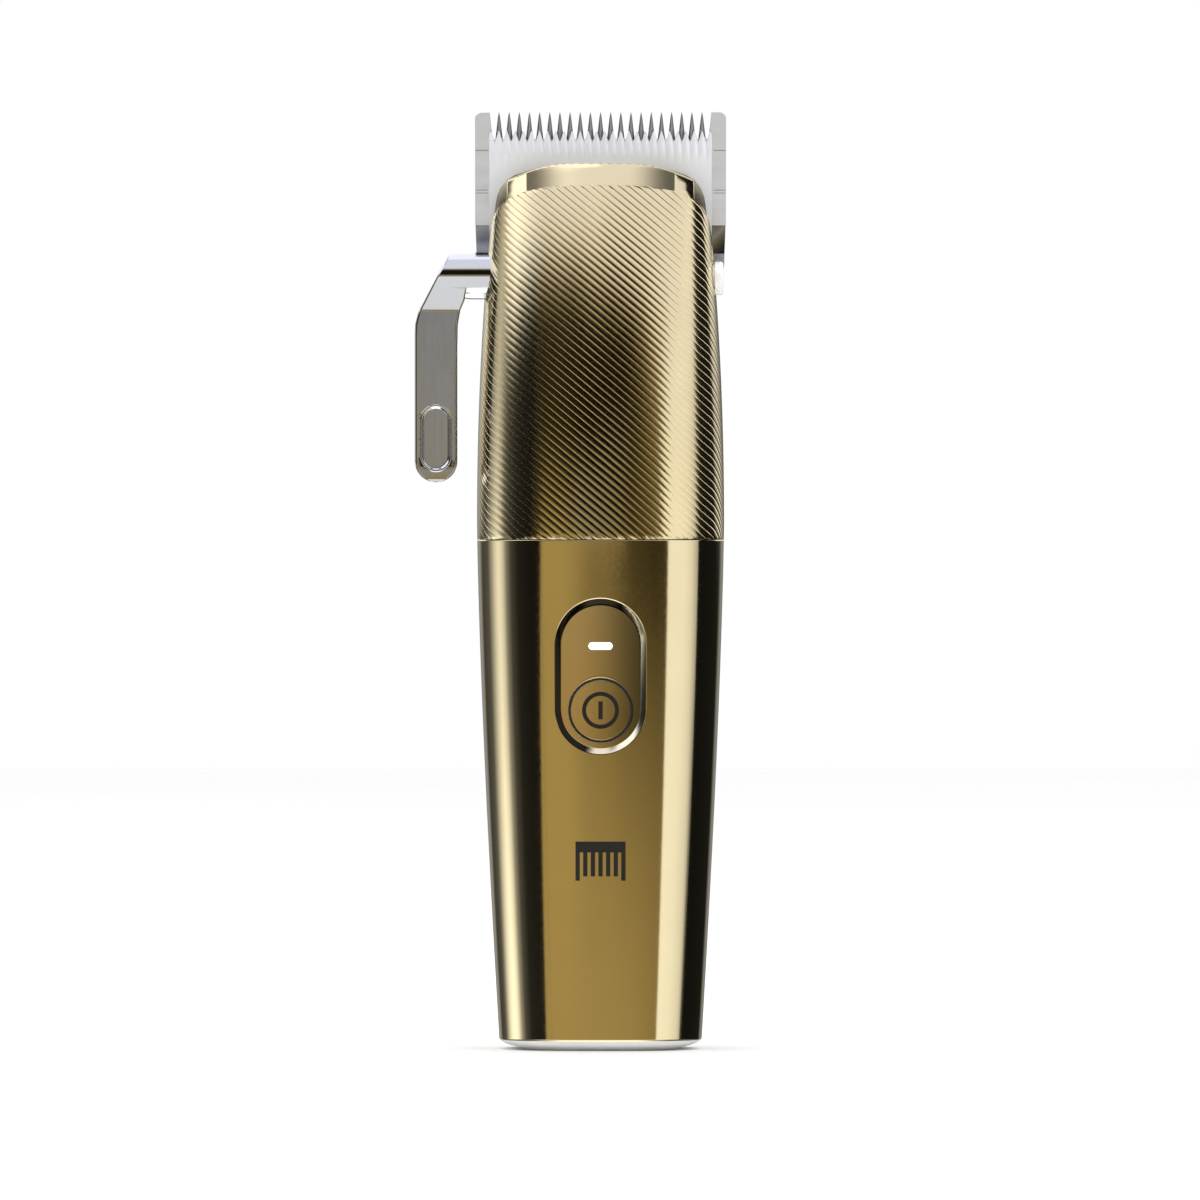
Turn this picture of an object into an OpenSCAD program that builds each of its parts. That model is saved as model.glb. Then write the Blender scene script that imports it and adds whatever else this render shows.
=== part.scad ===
// Cordless hair clipper, standing on its base with the blades up.
// Origin: centre of the resting face. +Z up to the blades, -Y the power button side, -X the lever side.

/* [Body] */
// Widest width of the body, just above the seam
body_w = 45.7; // [44:0.1:47]
// Width of the body at its base
base_w = 37.2; // [35:0.1:39]
// Depth of the body as a share of its width
depth_ratio = 0.875; // [0.84:0.005:0.9]
// Squareness of the cross-section: 2 is an ellipse
squareness = 2.8; // [2.5:0.1:3.2]
// Wall of the metal shells
wall = 1.4; // [1.2:0.1:1.5]
// Height of the seam between the lower housing and the knurled sleeve
seam_z = 94.1; // [93:0.1:95]

/* [Blades] */
// Width of the comb blade
blade_w = 46.5; // [46:0.1:47]
// Height of the comb tips
tip_z = 173.2; // [172.8:0.1:173.6]
// Forward lean of the blades
lean = 12; // [11:0.5:13]
// Teeth of the comb between its two end bars
comb_teeth = 21; // [15:1:23]
// Teeth of the cutter
cutter_teeth = 28; // [20:1:30]
// Sideways travel of the cutter each way
cutter_throw = 1; // [0.6:0.1:1]

/* [Taper lever] */
// Height of the lever's axis
lever_z = 142.7; // [142.5:0.1:142.9]
// Swing of the lever
lever_swing = 50; // [40:1:50]
// Throw of the cam pin that moves the comb
cam_throw = 1.8; // [1.6:0.1:1.8]

/* [Controls] */
// Height of the power button's centre
button_z = 62.7; // [62:0.1:63.5]
// Radius of the power button
button_r = 5.6; // [5.2:0.1:5.8]
// Travel of the power button
button_travel = 0.5; // [0.3:0.1:0.5]

/* [Hidden] */
$fn = 64;
SIDES = [-1, 1];

// Body profile: heights where its curves start and end
wide_z = 98;
shoulder_z = 149.6;
nose_z = 159.4;
foot_z = 1.8;
front_depth = body_w / 2 * depth_ratio;
nose_set_back = 8.9;
back_set_in = 7.5;
heel_z = 139;
shoulder_narrowing = 2.25;
section_points = 72;
seam_gap = 0.15;

// Blade plane: the face between comb and cutter, through the comb tips
blade_y = 2.8;
comb_t = 2.2;
cutter_t = 1.8;
blade_gap = 0.05;
comb_h = 21.2;
tooth_pitch = 1.88;
cutter_pitch = 1.507;
cutter_w = 41.2;
cutter_top = 3.42;
cutter_h = 24.5;

// Hood of the nose
hood_w = 17.3;
hood_facet = 13.9;
hood_top = 163.6;
hood_slope = 38;

// Lever axis, and the same point in the blade frame
lever_y = -2.5;
hub_r = 4.5;
hub_end = 16.4;
lever_dy = lever_y - blade_y;
lever_dz = lever_z - tip_z;
lever_ly = lever_dy * cos(lean) + lever_dz * sin(lean);
lever_lz = lever_dz * cos(lean) - lever_dy * sin(lean);
cam_start = lever_swing / 2;
cam_pin_r = 1.2;
comb_travel = 2 * cam_throw * sin(cam_start);
arm_in = 13.3;
arm_out = 15.8;
ear_in = 16.2;
ear_out = 17.9;
cap_drop = 0.3;

// Motor and drive
motor_y = -2;
motor_r = 12;
motor_z = 103.6;
motor_top = 134.1;
shaft_r = 1.25;
plate_z = 134.2;
plate_top = 136.6;
pin_r = 0.9;
pin_top = 152.6;

// Battery and electronics
battery_r = 9.2;
battery_y = 3.3;
battery_z = 18;
battery_top = 83;
board_y = -9.6;
board_t = 1.6;

// Screws: in the base as [x, y], in the blades as [x, z] of the blade frame, and beside the shaft
cap_screw = [8.2, -4];
blade_screw = [13, -18.6];
motor_screw_x = 8;
port_y = 6.5;

// Control panel: an oval let into the front of the lower housing
panel_z = 68.95;
panel_w = 14.7;
panel_h = 26.7;
panel_y = -18;
panel_bevel = 1.2;
led_z = 74.5;

// ---- Outline functions ----

// Half width of the body at height z
function half_w(z) = z > wide_z
    ? body_w / 2 - shoulder_narrowing * pow((z - wide_z) / (shoulder_z - wide_z), 2)
    : body_w / 2 - (body_w - base_w) / 2 * pow((wide_z - z) / wide_z, 1.4);

// Distance of the front face from the axis at height z
function front(z) = z > wide_z
    ? front_depth - nose_set_back * pow((z - wide_z) / (nose_z - wide_z), 2.6)
    : half_w(z) * depth_ratio;

// Distance of the back face from the axis at height z
function back(z) = z > wide_z
    ? front_depth - back_set_in * pow((z - wide_z) / (heel_z - wide_z), 2.2)
    : half_w(z) * depth_ratio;

// Signed power, for the rounded-rectangle section
function spow(v) = sign(v) * pow(abs(v), 2 / squareness);

// Point of the section at height z, angle a, moved in by inset
function on_body(a, z, inset = 0) = [
    (half_w(z) - inset) * spow(cos(a)),
    ((sin(a) > 0 ? back(z) : front(z)) - inset) * spow(sin(a)),
    z
];

// Angles round a section
function round_angles() = [for (i = [0 : section_points - 1]) i * 360 / section_points];

// Flat outline of the section at height z
function section(z, inset) = [for (a = round_angles()) let (p = on_body(a, z, inset)) [p.x, p.y]];

// Height of the sleeve's top edge over depth y: it falls from the nose to the heel
function edge_z(y) = shoulder_z - (y < 0 ? 0.883 : 1.165) * y;

// The same height followed along the surface at angle a
function rim_z(a, z = 148, steps = 12) = steps == 0 ? z : rim_z(a, edge_z(on_body(a, z).y), steps - 1);

// Point of the sleeve at angle a, a share t of the way up from the seam to the top edge
function on_sleeve(a, t, inset = 0) = on_body(a, seam_z + (rim_z(a) - seam_z) * t, inset);

// Gap between two comb teeth at x: straight flanks down to a round root
function comb_gap(x, half, r, root) = concat(
    [[x - half, 0]],
    [for (a = [180 : 30 : 360]) [x + r * cos(a), -root + r * sin(a)]],
    [[x + half, 0]]
);

// ---- Shared shapes ----

// Closed ring of sections: the last ring joins the first
module ring_skin(rings) {
    n = len(rings[0]);
    m = len(rings);
    polyhedron(
        points = [for (r = rings) each r],
        faces = [for (i = [0 : m - 1], j = [0 : n - 1])
            let (a = i * n + j, b = i * n + (j + 1) % n)
            let (c = ((i + 1) % m) * n + (j + 1) % n, d = ((i + 1) % m) * n + j)
            each [[a, c, b], [a, d, c]]],
        convexity = 6
    );
}

// Solid stack of sections, closed by a flat face at each end
module stack_skin(rings) {
    n = len(rings[0]);
    m = len(rings);
    polyhedron(
        points = [for (r = rings) each r],
        faces = concat(
            [[for (j = [0 : n - 1]) j]],
            [[for (j = [n - 1 : -1 : 0]) (m - 1) * n + j]],
            [for (i = [0 : m - 2], j = [0 : n - 1])
                let (a = i * n + j, b = i * n + (j + 1) % n, c = a + n, d = b + n)
                each [[a, d, b], [a, c, d]]]
        ),
        convexity = 4
    );
}

// Rod along X from x1 to x2
module rod_x(r, x1, x2) translate([x1, 0, 0]) rotate([0, 90, 0]) cylinder(r = r, h = x2 - x1);

// Rod along Y from y1 to y2
module rod_y(r, y1, y2) translate([0, y1, 0]) rotate([-90, 0, 0]) cylinder(r = r, h = y2 - y1);

// Rod along Z from z1 to z2
module rod_z(r, z1, z2) translate([0, 0, z1]) cylinder(r = r, h = z2 - z1);

// Box between two corners
module block(low, high) translate(low) cube(high - low);

// Upright oval of width w and height h, from y1 to y2
module oval(w, h, y1, y2) {
    for (s = SIDES) translate([0, 0, s * (h - w) / 2]) rod_y(w / 2, y1, y2);
    block([-w / 2, y1, -(h - w) / 2], [w / 2, y2, (h - w) / 2]);
}

// Oval whose size grows from w by h at y2 to wider by grow all round at y1
module flared_oval(w, h, grow, y1, y2) {
    half = (h - w) / 2;
    for (s = SIDES)
        translate([0, y1, s * half])
            rotate([-90, 0, 0])
                cylinder(r1 = w / 2 + grow, r2 = w / 2, h = y2 - y1);
    translate([0, 0, -half])
        linear_extrude(2 * half)
            polygon([[-w / 2 - grow, y1], [w / 2 + grow, y1], [w / 2, y2], [-w / 2, y2]]);
}

// Blade frame: y = 0 is the face between comb and cutter, z = 0 the comb tips, -z down the blade
module blade_frame() translate([0, blade_y, tip_z]) rotate([lean, 0, 0]) children();

// Plate in the blade frame from a flat outline of [x, z] points, between y1 and y2
module blade_plate(points, y1, y2)
    translate([0, y2, 0]) rotate([90, 0, 0]) linear_extrude(y2 - y1) polygon(points);

// ---- Outer shells ----

module lower_housing() color("goldenrod") {
    steps = 12;
    top = seam_z - seam_gap;
    heights = [for (i = [0 : steps]) foot_z + (top - foot_z) * i / steps];
    difference() {
        ring_skin(concat(
            [for (z = heights) [for (a = round_angles()) on_body(a, z)]],
            [for (i = [steps : -1 : 0]) [for (a = round_angles()) on_body(a, heights[i], wall)]]
        ));
        translate([0, 0, panel_z]) {
            flared_oval(panel_w, panel_h, 2 * panel_bevel, panel_y - 2 * panel_bevel, panel_y);
            oval(panel_w, panel_h, panel_y - 0.01, panel_y + 5);
        }
    }
}

module knurled_sleeve() color("gold") {
    steps = 12;
    difference() {
        ring_skin(concat(
            [for (i = [0 : steps]) [for (a = round_angles()) on_sleeve(a, i / steps)]],
            [for (i = [steps : -1 : 0]) [for (a = round_angles()) on_sleeve(a, i / steps, wall)]]
        ));
        translate([0, lever_y, lever_z]) {
            rod_x(hub_r + 0.25, -30, -10);
            translate([0, 0, -cap_drop]) rod_x(2.7, 10, 30);
        }
    }
}

// Plan outline of the hood: a crowned front between two facets, and straight sides
module hood_plan(inset, squash = 1) {
    w = hood_w - inset;
    facet = hood_facet - inset / 2;
    crown = [for (i = [-6 : 6]) let (x = facet * i / 6) [x, (inset + 1.9 * pow(i / 6, 2)) * squash]];
    side_y = (4.8 + inset / 2) * squash;
    polygon(concat([[-w, 40], [-w, side_y]], crown, [[w, side_y], [w, 40]]));
}

// Hood between the sleeve and the cutter, moved in by inset
module hood(inset) {
    w = hood_w - inset;
    top = hood_top - inset;
    low = 149.2 - 2 * inset;
    intersection() {
        // Seen from the front: the arch
        translate([0, 20, 0]) rotate([90, 0, 0]) linear_extrude(40) polygon([
            [-w, low], [-w, top - 2.7], [-14.1, top - 1.3], [-10.8, top - 0.4], [-7.5, top],
            [7.5, top], [10.8, top - 0.4], [14.1, top - 1.3], [w, top - 2.7], [w, low]
        ]);
        // Seen from the side: the back edge just clear of the cutter
        translate([-20, 0, 0]) rotate([90, 0, 90]) linear_extrude(40) polygon([
            [-20, low], [-20, top], [2.6 + 4 * inset, top], [5.2 + 4 * inset, low]
        ]);
        // Upright front, and the front that leans back to the cutter
        translate([0, -10.2, 0]) linear_extrude(200) hood_plan(inset);
        translate([0, -10.2, 157.5]) rotate([-hood_slope, 0, 0])
            translate([0, 0, -40]) linear_extrude(80) hood_plan(inset, cos(hood_slope));
    }
}

module nose_bezel() color("goldenrod") difference() {
    hood(0);
    hood(1.2);
}

module bottom_cap() color("gainsboro") {
    // Share of the base's size reached at each height of the dome
    dome = [[0, 0.62], [0.1, 0.7], [0.4, 0.81], [0.8, 0.9], [1.3, 0.965], [foot_z, 0.99]];
    difference() {
        union() {
            stack_skin([for (d = dome) [for (a = round_angles())
                let (p = on_body(a, foot_z)) [p.x * d[1], p.y * d[1], d[0]]]]);
            translate([0, 0, foot_z - 0.1])
                linear_extrude(3.1)
                    polygon(section(foot_z, wall + 0.1));
        }
        translate([0, port_y, -1]) port_outline(0.1, 8);
        for (s = SIDES) translate([s * cap_screw.x, cap_screw.y, 0]) {
            rod_z(2.3, -1, 2.2);
            rod_z(1.2, -1, 8);
        }
    }
}

module cap_screws() color("dimgray")
    for (s = SIDES) translate([s * cap_screw.x, cap_screw.y, 0]) difference() {
        union() {
            rod_z(2.2, 0.7, 2.2);
            rod_z(1.1, 2.2, 15);
        }
        block([-1.6, -0.3, 0], [1.6, 0.3, 1.2]);
        block([-0.3, -1.6, 0], [0.3, 1.6, 1.2]);
    }

// Rounded slot of the charging socket, grown by gap
module port_outline(gap, h) {
    w = 8.94 / 2 - 1.6;
    for (s = SIDES) translate([s * w, 0, 0]) cylinder(r = 1.6 + gap, h = h);
    block([-w, -1.6 - gap, 0], [w, 1.6 + gap, h]);
}

module charge_port() color("silver") translate([0, port_y, 0]) {
    difference() {
        translate([0, 0, 0.6]) port_outline(0, 8);
        port_outline(-0.3, 7);
    }
    block([-3, -0.35, 2], [3, 0.35, 7.2]);
}

// ---- Controls ----

module control_panel() color("darkgoldenrod") difference() {
    translate([0, 0, panel_z]) {
        oval(panel_w - 0.06, panel_h - 0.06, panel_y, panel_y + 1.8);
        oval(panel_w + 1.4, panel_h + 1.4, panel_y + 1.1, panel_y + 1.8);
    }
    translate([0, 0, button_z]) rod_y(button_r + 0.28, panel_y - 1, panel_y + 5);
    translate([0, 0, led_z]) led_pill(0.03, panel_y - 1, panel_y + 5);
}

// Pill of the status light, grown by gap
module led_pill(gap, y1, y2) {
    r = 1.55 / 2;
    for (s = SIDES) translate([s * (2.3 - r), 0, 0]) rod_y(r + gap, y1, y2);
    block([r - 2.3, y1, -r - gap], [2.3 - r, y2, r + gap]);
}

module light_pipe() color("white") translate([0, 0, led_z]) led_pill(0, panel_y - 0.05, board_y - 1.5);

module status_led() color("ivory") block([-1.6, board_y - 1.4, led_z - 1], [1.6, board_y, led_z + 1]);

module power_button() color("goldenrod") translate([0, 0, button_z]) {
    rod_y(button_r, panel_y - 0.1, panel_y + 2);
    rod_y(button_r + 0.7, panel_y + 1.95, panel_y + 2.6);
    rod_y(1.6, panel_y + 2.5, board_y - 4.2);
}

module switch_plunger() color("black")
    translate([0, 0, button_z]) rod_y(1.6, board_y - 4.2, board_y - 1.4);

module power_switch() color("dimgray") difference() {
    block([-3, board_y - 3.2, button_z - 3], [3, board_y, button_z + 3]);
    translate([0, 0, button_z]) rod_y(1.7, board_y - 5, board_y - 1.2 + button_travel);
}

module circuit_board() color("darkgreen") block([-11, board_y, 22], [11, board_y + board_t, 88]);

// ---- Battery ----

module battery_cell() color("steelblue")
    translate([0, battery_y, 0]) rod_z(battery_r, battery_z, battery_top);

module battery_holder() color("black") translate([0, battery_y, 0]) {
    for (z = [battery_z - 2, battery_top + 0.3]) difference() {
        rod_z(battery_r + 0.1, z, z + 1.7);
        rod_z(3, z - 1, z + 5);
    }
}

module battery_tabs() color("silver")
    for (z = [battery_z - 0.3, battery_top]) {
        translate([0, battery_y, 0]) rod_z(4.5, z, z + 0.3);
        block([-2, board_y + board_t, z], [2, battery_y, z + 0.3]);
    }

// ---- Inner chassis ----

module inner_chassis() color("dimgray") {
    // Collar that carries both shells across the seam
    difference() {
        translate([0, 0, 88]) linear_extrude(10) polygon(section(93, wall + 0.15));
        translate([0, 0, 87]) linear_extrude(9) polygon(section(93, wall + 1.6));
        block([-9, -13, 90], [9, -6.4, 100]);
    }
    // Spine behind the battery, and the rails of the circuit board
    block([-11, battery_y + battery_r + 0.1, 14], [11, 13.8, 96]);
    for (s = SIDES) scale_side(s) block([11, board_y - 0.5, 14], [12.6, board_y + board_t + 0.5, 96.5]);
    // Floor under the battery, with the bosses of the cap screws
    difference() {
        union() {
            translate([0, 0, 14]) linear_extrude(2) polygon(section(14, wall + 0.3));
            for (s = SIDES) translate([s * cap_screw.x, cap_screw.y, 0]) rod_z(2.6, 4.9, 14.1);
        }
        for (s = SIDES) translate([s * cap_screw.x, cap_screw.y, 0]) rod_z(1.15, 4, 18);
    }
    // Struts beside the motor, the plate on top of it, and the two ears of the lever axis
    for (s = SIDES) scale_side(s) block([14, -5, 97], [16.2, 4, plate_top]);
    difference() {
        intersection() {
            translate([0, 0, plate_z]) linear_extrude(plate_top - plate_z) polygon(section(137, wall + 0.4));
            block([-30, -30, 130], [30, 10, 140]);
        }
        translate([0, motor_y, 0]) {
            rod_z(5, 130, 140);
            for (s = SIDES) translate([s * motor_screw_x, 0, 0]) rod_z(1.1, 130, 140);
        }
    }
    for (s = SIDES) scale_side(s) difference() {
        union() {
            block([ear_in, lever_y - 5, plate_top - 0.1], [ear_out, lever_y + 5, lever_z]);
            translate([0, lever_y, lever_z]) rod_x(6, ear_in, ear_out);
        }
        translate([0, lever_y, lever_z]) rod_x(s < 0 ? 5.4 : 1.55, 10, 30);
    }
}

// Mirrors its children to the side of the sign s
module scale_side(s) mirror([s < 0 ? 1 : 0, 0, 0]) children();

// ---- Motor ----

module motor_can() color("silver") translate([0, motor_y, 0]) difference() {
    rod_z(motor_r, motor_z, motor_top);
    rod_z(motor_r - 0.8, motor_z - 1, motor_top - 1.2);
    rod_z(3, motor_top - 2, motor_top + 1);
    for (s = SIDES) translate([s * motor_screw_x, 0, 0]) rod_z(1.05, motor_top - 2, motor_top + 1);
}

module motor_end_cap() color("white") translate([0, motor_y, 0]) difference() {
    rod_z(motor_r - 0.8, motor_z, motor_z + 2);
    rod_z(shaft_r + 0.05, motor_z + 0.6, motor_z + 3);
}

module motor_magnets() color("black") translate([0, motor_y, 0]) difference() {
    rod_z(motor_r - 0.85, 108, 127);
    rod_z(9.4, 107, 128);
    block([-2.5, -20, 100], [2.5, 20, 130]);
}

module motor_rotor() color("sienna") translate([0, motor_y, 0]) {
    rod_z(8.9, 109, 126);
    rod_z(shaft_r, motor_z + 0.8, 143);
}

module motor_bearing() color("darkgoldenrod") translate([0, motor_y, 0]) difference() {
    rod_z(3, motor_top - 1.2, 136.9);
    rod_z(shaft_r + 0.04, 130, 140);
}

module motor_isolator() color("black") translate([0, motor_y, 0]) difference() {
    rod_z(motor_r, 98, motor_z);
    rod_z(9.5, 97, motor_z + 1);
}

module motor_screws() color("dimgray")
    for (s = SIDES) translate([s * motor_screw_x, motor_y, 0]) {
        rod_z(2, plate_top, plate_top + 1.2);
        rod_z(1, 133, plate_top + 0.1);
    }

module motor_leads() color("red")
    for (s = SIDES) translate([s * 6, board_y + board_t + 0.6, 0]) rod_z(0.6, 84, motor_z);

module drive_eccentric() color("slategray") translate([0, motor_y, 0]) {
    difference() {
        rod_z(3.4, 138, 143.8);
        rod_z(shaft_r, 137, 143);
    }
    translate([0, -cutter_throw, 0]) rod_z(pin_r, 143.5, pin_top);
}

// ---- Cutter group ----

// Follower on the cutter: its slot takes the drive pin
module cutter_yoke() color("white") {
    slot_w = 2 * cutter_throw + pin_r + 0.2;
    difference() {
        block([-slot_w - 2.4, motor_y - 3.8, 149.6], [slot_w + 2.4, motor_y + 5.4, 152.9]);
        block([-slot_w, motor_y - cutter_throw - pin_r - 0.4, 149],
            [slot_w, motor_y + cutter_throw + pin_r + 0.4, 154]);
    }
    blade_frame() {
        block([-4.5, -5.6, -23.6], [4.5, -3.8, -13]);
        block([-8.9, -5.6, -15.5], [8.9, -cutter_t - blade_gap, -11.4]);
    }
}

// Arch of the cutter's cut-out from its crown to its foot, right half, as [x, z] in the blade frame
CUTTER_ARCH = [
    [7.5, -9.44], [14.1, -10.75], [17.3, -12.2], [18.6, -13.9], [19.4, -16], [19.9, -20.5], [20.1, -24.6]
];

module cutter_blade() color("aliceblue") blade_frame() {
    root = 5.2;
    first = -(cutter_teeth - 1) / 2 * cutter_pitch;
    teeth = [for (i = [0 : cutter_teeth - 1]) let (x = first + i * cutter_pitch)
        each [[x - 0.62, -root], [x - 0.085, -cutter_top], [x + 0.085, -cutter_top], [x + 0.62, -root]]];
    arch_left = [for (i = [len(CUTTER_ARCH) - 1 : -1 : 0]) [-CUTTER_ARCH[i].x, CUTTER_ARCH[i].y]];
    difference() {
        intersection() {
            blade_plate(concat([[-21.5, -cutter_h]], teeth, [[21.5, -cutter_h]]),
                -cutter_t - blade_gap, -blade_gap);
            block([-cutter_w / 2, -5, -30], [cutter_w / 2, 1, 0]);
        }
        blade_plate(concat(arch_left, [[-8, -9.6], [-8, -15.5], [8, -15.5], [8, -9.6]], CUTTER_ARCH,
            [[19, -30], [-19, -30]]), -5, 1);
        // Relief ground across the teeth
        translate([0, -cutter_t - blade_gap, -cutter_top]) rotate([-12, 0, 0])
            block([-30, -3, -5.4], [30, 1.1, 3]);
    }
}

// Spring that presses the cutter on the comb: two prongs from one foot
module cutter_spring() color("lightsteelblue") blade_frame() {
    for (s = SIDES) scale_side(s) block([7.3, -6.4, -36], [8.6, -5.65, -12.5]);
    block([-8.6, -6.4, -36], [8.6, -5.65, -34]);
}

// ---- Comb group ----

module comb_blade() color("silver") blade_frame() {
    root = 5.1;
    half = blade_w / 2;
    bar = 2.7;
    corner = 1.3;
    first = -(comb_teeth - 1) / 2 * tooth_pitch;
    corner_left = [for (a = [180 : -22.5 : 90])
        [-half + corner + corner * cos(a), -corner + corner * sin(a)]];
    corner_right = [for (a = [90 : -22.5 : 0])
        [half - corner + corner * cos(a), -corner + corner * sin(a)]];
    gaps = [for (i = [1 : comb_teeth - 1])
        each comb_gap(first + (i - 0.5) * tooth_pitch, 0.83, 0.275, root)];
    // The gap beside each end bar fills what is left between the bar and the first tooth
    side_x = (half - bar - first + 0.11) / 2;
    side_half = (half - bar + first - 0.11) / 2;
    left_gap = comb_gap(-side_x, side_half, 0.3, root);
    right_gap = comb_gap(side_x, side_half, 0.3, root);
    difference() {
        blade_plate(concat([[-half, -comb_h]], corner_left, left_gap, gaps, right_gap, corner_right,
            [[half, -comb_h]]), 0, comb_t);
        // Bevel of the skin side towards the tips
        translate([0, comb_t, -8]) rotate([10, 0, 0]) block([-30, 0, 0], [30, 5, 12]);
        // Step and engraved lines across the end bars
        for (s = SIDES) scale_side(s) {
            block([20.9, -1, -6.95], [30, 0.15, 1]);
            for (z = [-14.6, -15.1]) block([20.9, -1, z], [30, 0.15, z + 0.2]);
        }
        for (s = SIDES) translate([s * blade_screw.x, 0, blade_screw.y]) {
            rod_y(1.3, -1, 5);
            translate([0, comb_t - 1.1, 0]) rotate([-90, 0, 0]) cylinder(r1 = 1.3, r2 = 2.5, h = 1.2);
        }
    }
}

module blade_screws() color("dimgray") blade_frame()
    for (s = SIDES) translate([s * blade_screw.x, 0, blade_screw.y]) difference() {
        union() {
            rod_y(1.2, -2.6, comb_t - 0.1);
            translate([0, comb_t - 1.1, 0]) rotate([-90, 0, 0]) cylinder(r1 = 1.2, r2 = 2.35, h = 1.1);
        }
        block([-1.5, comb_t - 0.6, -0.25], [1.5, comb_t + 1, 0.25]);
        block([-0.25, comb_t - 0.6, -1.5], [0.25, comb_t + 1, 1.5]);
    }

module blade_carrier() color("gray") blade_frame() {
    // Back plate below the comb: two ears and a rounded apron
    right = [
        [23.2, -21.25], [22.95, -28.5], [22.5, -32.2], [21.7, -33], [16, -33.4], [13, -35.4], [11, -36.6]
    ];
    left = [for (i = [len(right) - 1 : -1 : 0]) [-right[i].x, right[i].y]];
    difference() {
        union() {
            blade_plate(concat(right, left), -0.5, comb_t);
            block([-15.5, -3.2, -30], [15.5, 0, -18]);
            for (s = SIDES) scale_side(s) block([10.5, -3.2, -18.1], [15.5, 0, -15.5]);
            for (s = SIDES) scale_side(s) block([arm_in, -14.5, -32], [arm_out, -0.4, -24]);
        }
        // Room for the comb's heel and the cutter's legs
        block([-30, 0, -21.25], [30, 5, 5]);
        for (s = SIDES) scale_side(s) block([18, -5, -26.5], [30, 0, 5]);
        for (s = SIDES) translate([s * blade_screw.x, 0, blade_screw.y]) rod_y(1.22, -2.8, 1);
        // Cam slot on the lever side, guide slot on the other
        translate([0, lever_ly + cam_throw * cos(cam_start) + 0.08, lever_lz + cam_throw * sin(cam_start)])
            slot_x(cam_pin_r + 0.12, 0.3, 0, -20, -10);
        translate([0, lever_ly, lever_lz + comb_travel / 2])
            slot_x(1.6, 0, comb_travel / 2 + 0.1, 10, 20);
    }
}

// Slot through X of radius r, stretched by half_y or half_z, between x1 and x2
module slot_x(r, half_y, half_z, x1, x2) {
    for (s = SIDES) translate([0, s * half_y, s * half_z]) rod_x(r, x1, x2);
    block([x1, -max(half_y, half_z > 0 ? r : 0), -max(half_z, half_y > 0 ? r : 0)],
        [x2, max(half_y, half_z > 0 ? r : 0), max(half_z, half_y > 0 ? r : 0)]);
}

// ---- Taper lever ----

arm_low = 104.7;
arm_x1 = -34.3;
arm_x2 = -26.45;
arm_r = (arm_x2 - arm_x1) / 2;

module taper_lever() color("silver") difference() {
    union() {
        translate([0, lever_y, lever_z]) rod_x(hub_r, -27.5, -hub_end);
        intersection() {
            // Seen from the front
            translate([0, 20, 0]) rotate([90, 0, 0]) linear_extrude(40) union() {
                polygon([
                    [-22, lever_z + hub_r], [-28.3, lever_z + hub_r], [-29.4, lever_z + 3.6], [-33.3, 136.9],
                    [-34.1, 134.6], [arm_x1, 132], [arm_x1, arm_low + arm_r], [arm_x2, arm_low + arm_r],
                    [arm_x2, 133.5], [-26.1, 136.4], [-25.2, 138.2], [-22, 138.2]
                ]);
                translate([arm_x1 + arm_r, arm_low + arm_r]) circle(arm_r);
            }
            // Seen from the side
            translate([-40, 0, 0]) rotate([90, 0, 90]) linear_extrude(30) union() {
                translate([lever_y, lever_z]) circle(hub_r);
                polygon([
                    [lever_y - 4.42, lever_z - 0.9], [lever_y - 3.4, 136.2], [lever_y - 3.1, 133.5],
                    [lever_y - 3.1, 100], [lever_y + 0.5, 100], [lever_y + 0.5, 133.5],
                    [lever_y + 1.3, 136.5], [lever_y + 4.1, lever_z - 1.9], [lever_y, lever_z]
                ]);
            }
        }
    }
    translate([0, lever_y, lever_z]) rod_x(2.02, -24, -10);
    translate([arm_x1 + arm_r, 0, 113]) oval(4.7, 11.2, lever_y - 5, lever_y - 2.75);
}

module lever_shaft() color("slategray") translate([0, lever_y, lever_z]) {
    rod_x(2, -23.9, -hub_end + 0.05);
    rod_x(3.4, -hub_end, -hub_end + 0.4);
    rotate([lean + cam_start, 0, 0]) translate([0, cam_throw, 0]) rod_x(cam_pin_r, -hub_end + 0.3, -13);
}

module lever_bush() color("ivory") translate([0, lever_y, lever_z]) difference() {
    rod_x(5.4, -ear_out, -ear_in);
    rod_x(hub_r + 0.05, -30, -10);
}

module pivot_screw() color("slategray") translate([0, lever_y, lever_z]) difference() {
    union() {
        rod_x(1.5, 12.9, ear_out + 0.1);
        rod_x(2.5, ear_out, ear_out + 1.6);
    }
    block([ear_out + 0.9, -1.8, -0.3], [ear_out + 2, 1.8, 0.3]);
}

module pivot_cap() color("lightgray") translate([0, lever_y, lever_z - cap_drop]) {
    rod_x(2.6, 19.6, 21.4);
    rotate([0, 90, 0]) rotate_extrude() union() {
        polygon([[0, 21.3], [3.1, 21.3], [3.1, 22.1], [2.5, 22.7], [0, 22.7]]);
        translate([2.5, 22.1]) circle(0.6);
    }
}

// ---- Nodes ----

lower_housing();
knurled_sleeve();
nose_bezel();
bottom_cap();
cap_screws();
control_panel();
light_pipe();
power_button();
switch_plunger();
power_switch();
status_led();
circuit_board();
battery_cell();
battery_holder();
battery_tabs();
charge_port();
inner_chassis();
motor_can();
motor_end_cap();
motor_magnets();
motor_rotor();
motor_bearing();
motor_isolator();
motor_screws();
motor_leads();
drive_eccentric();
cutter_yoke();
cutter_blade();
cutter_spring();
comb_blade();
blade_carrier();
blade_screws();
taper_lever();
lever_shaft();
lever_bush();
pivot_screw();
pivot_cap();
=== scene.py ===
# Cordless hair clipper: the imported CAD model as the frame, with detailed meshes and materials around it.
import math

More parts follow.
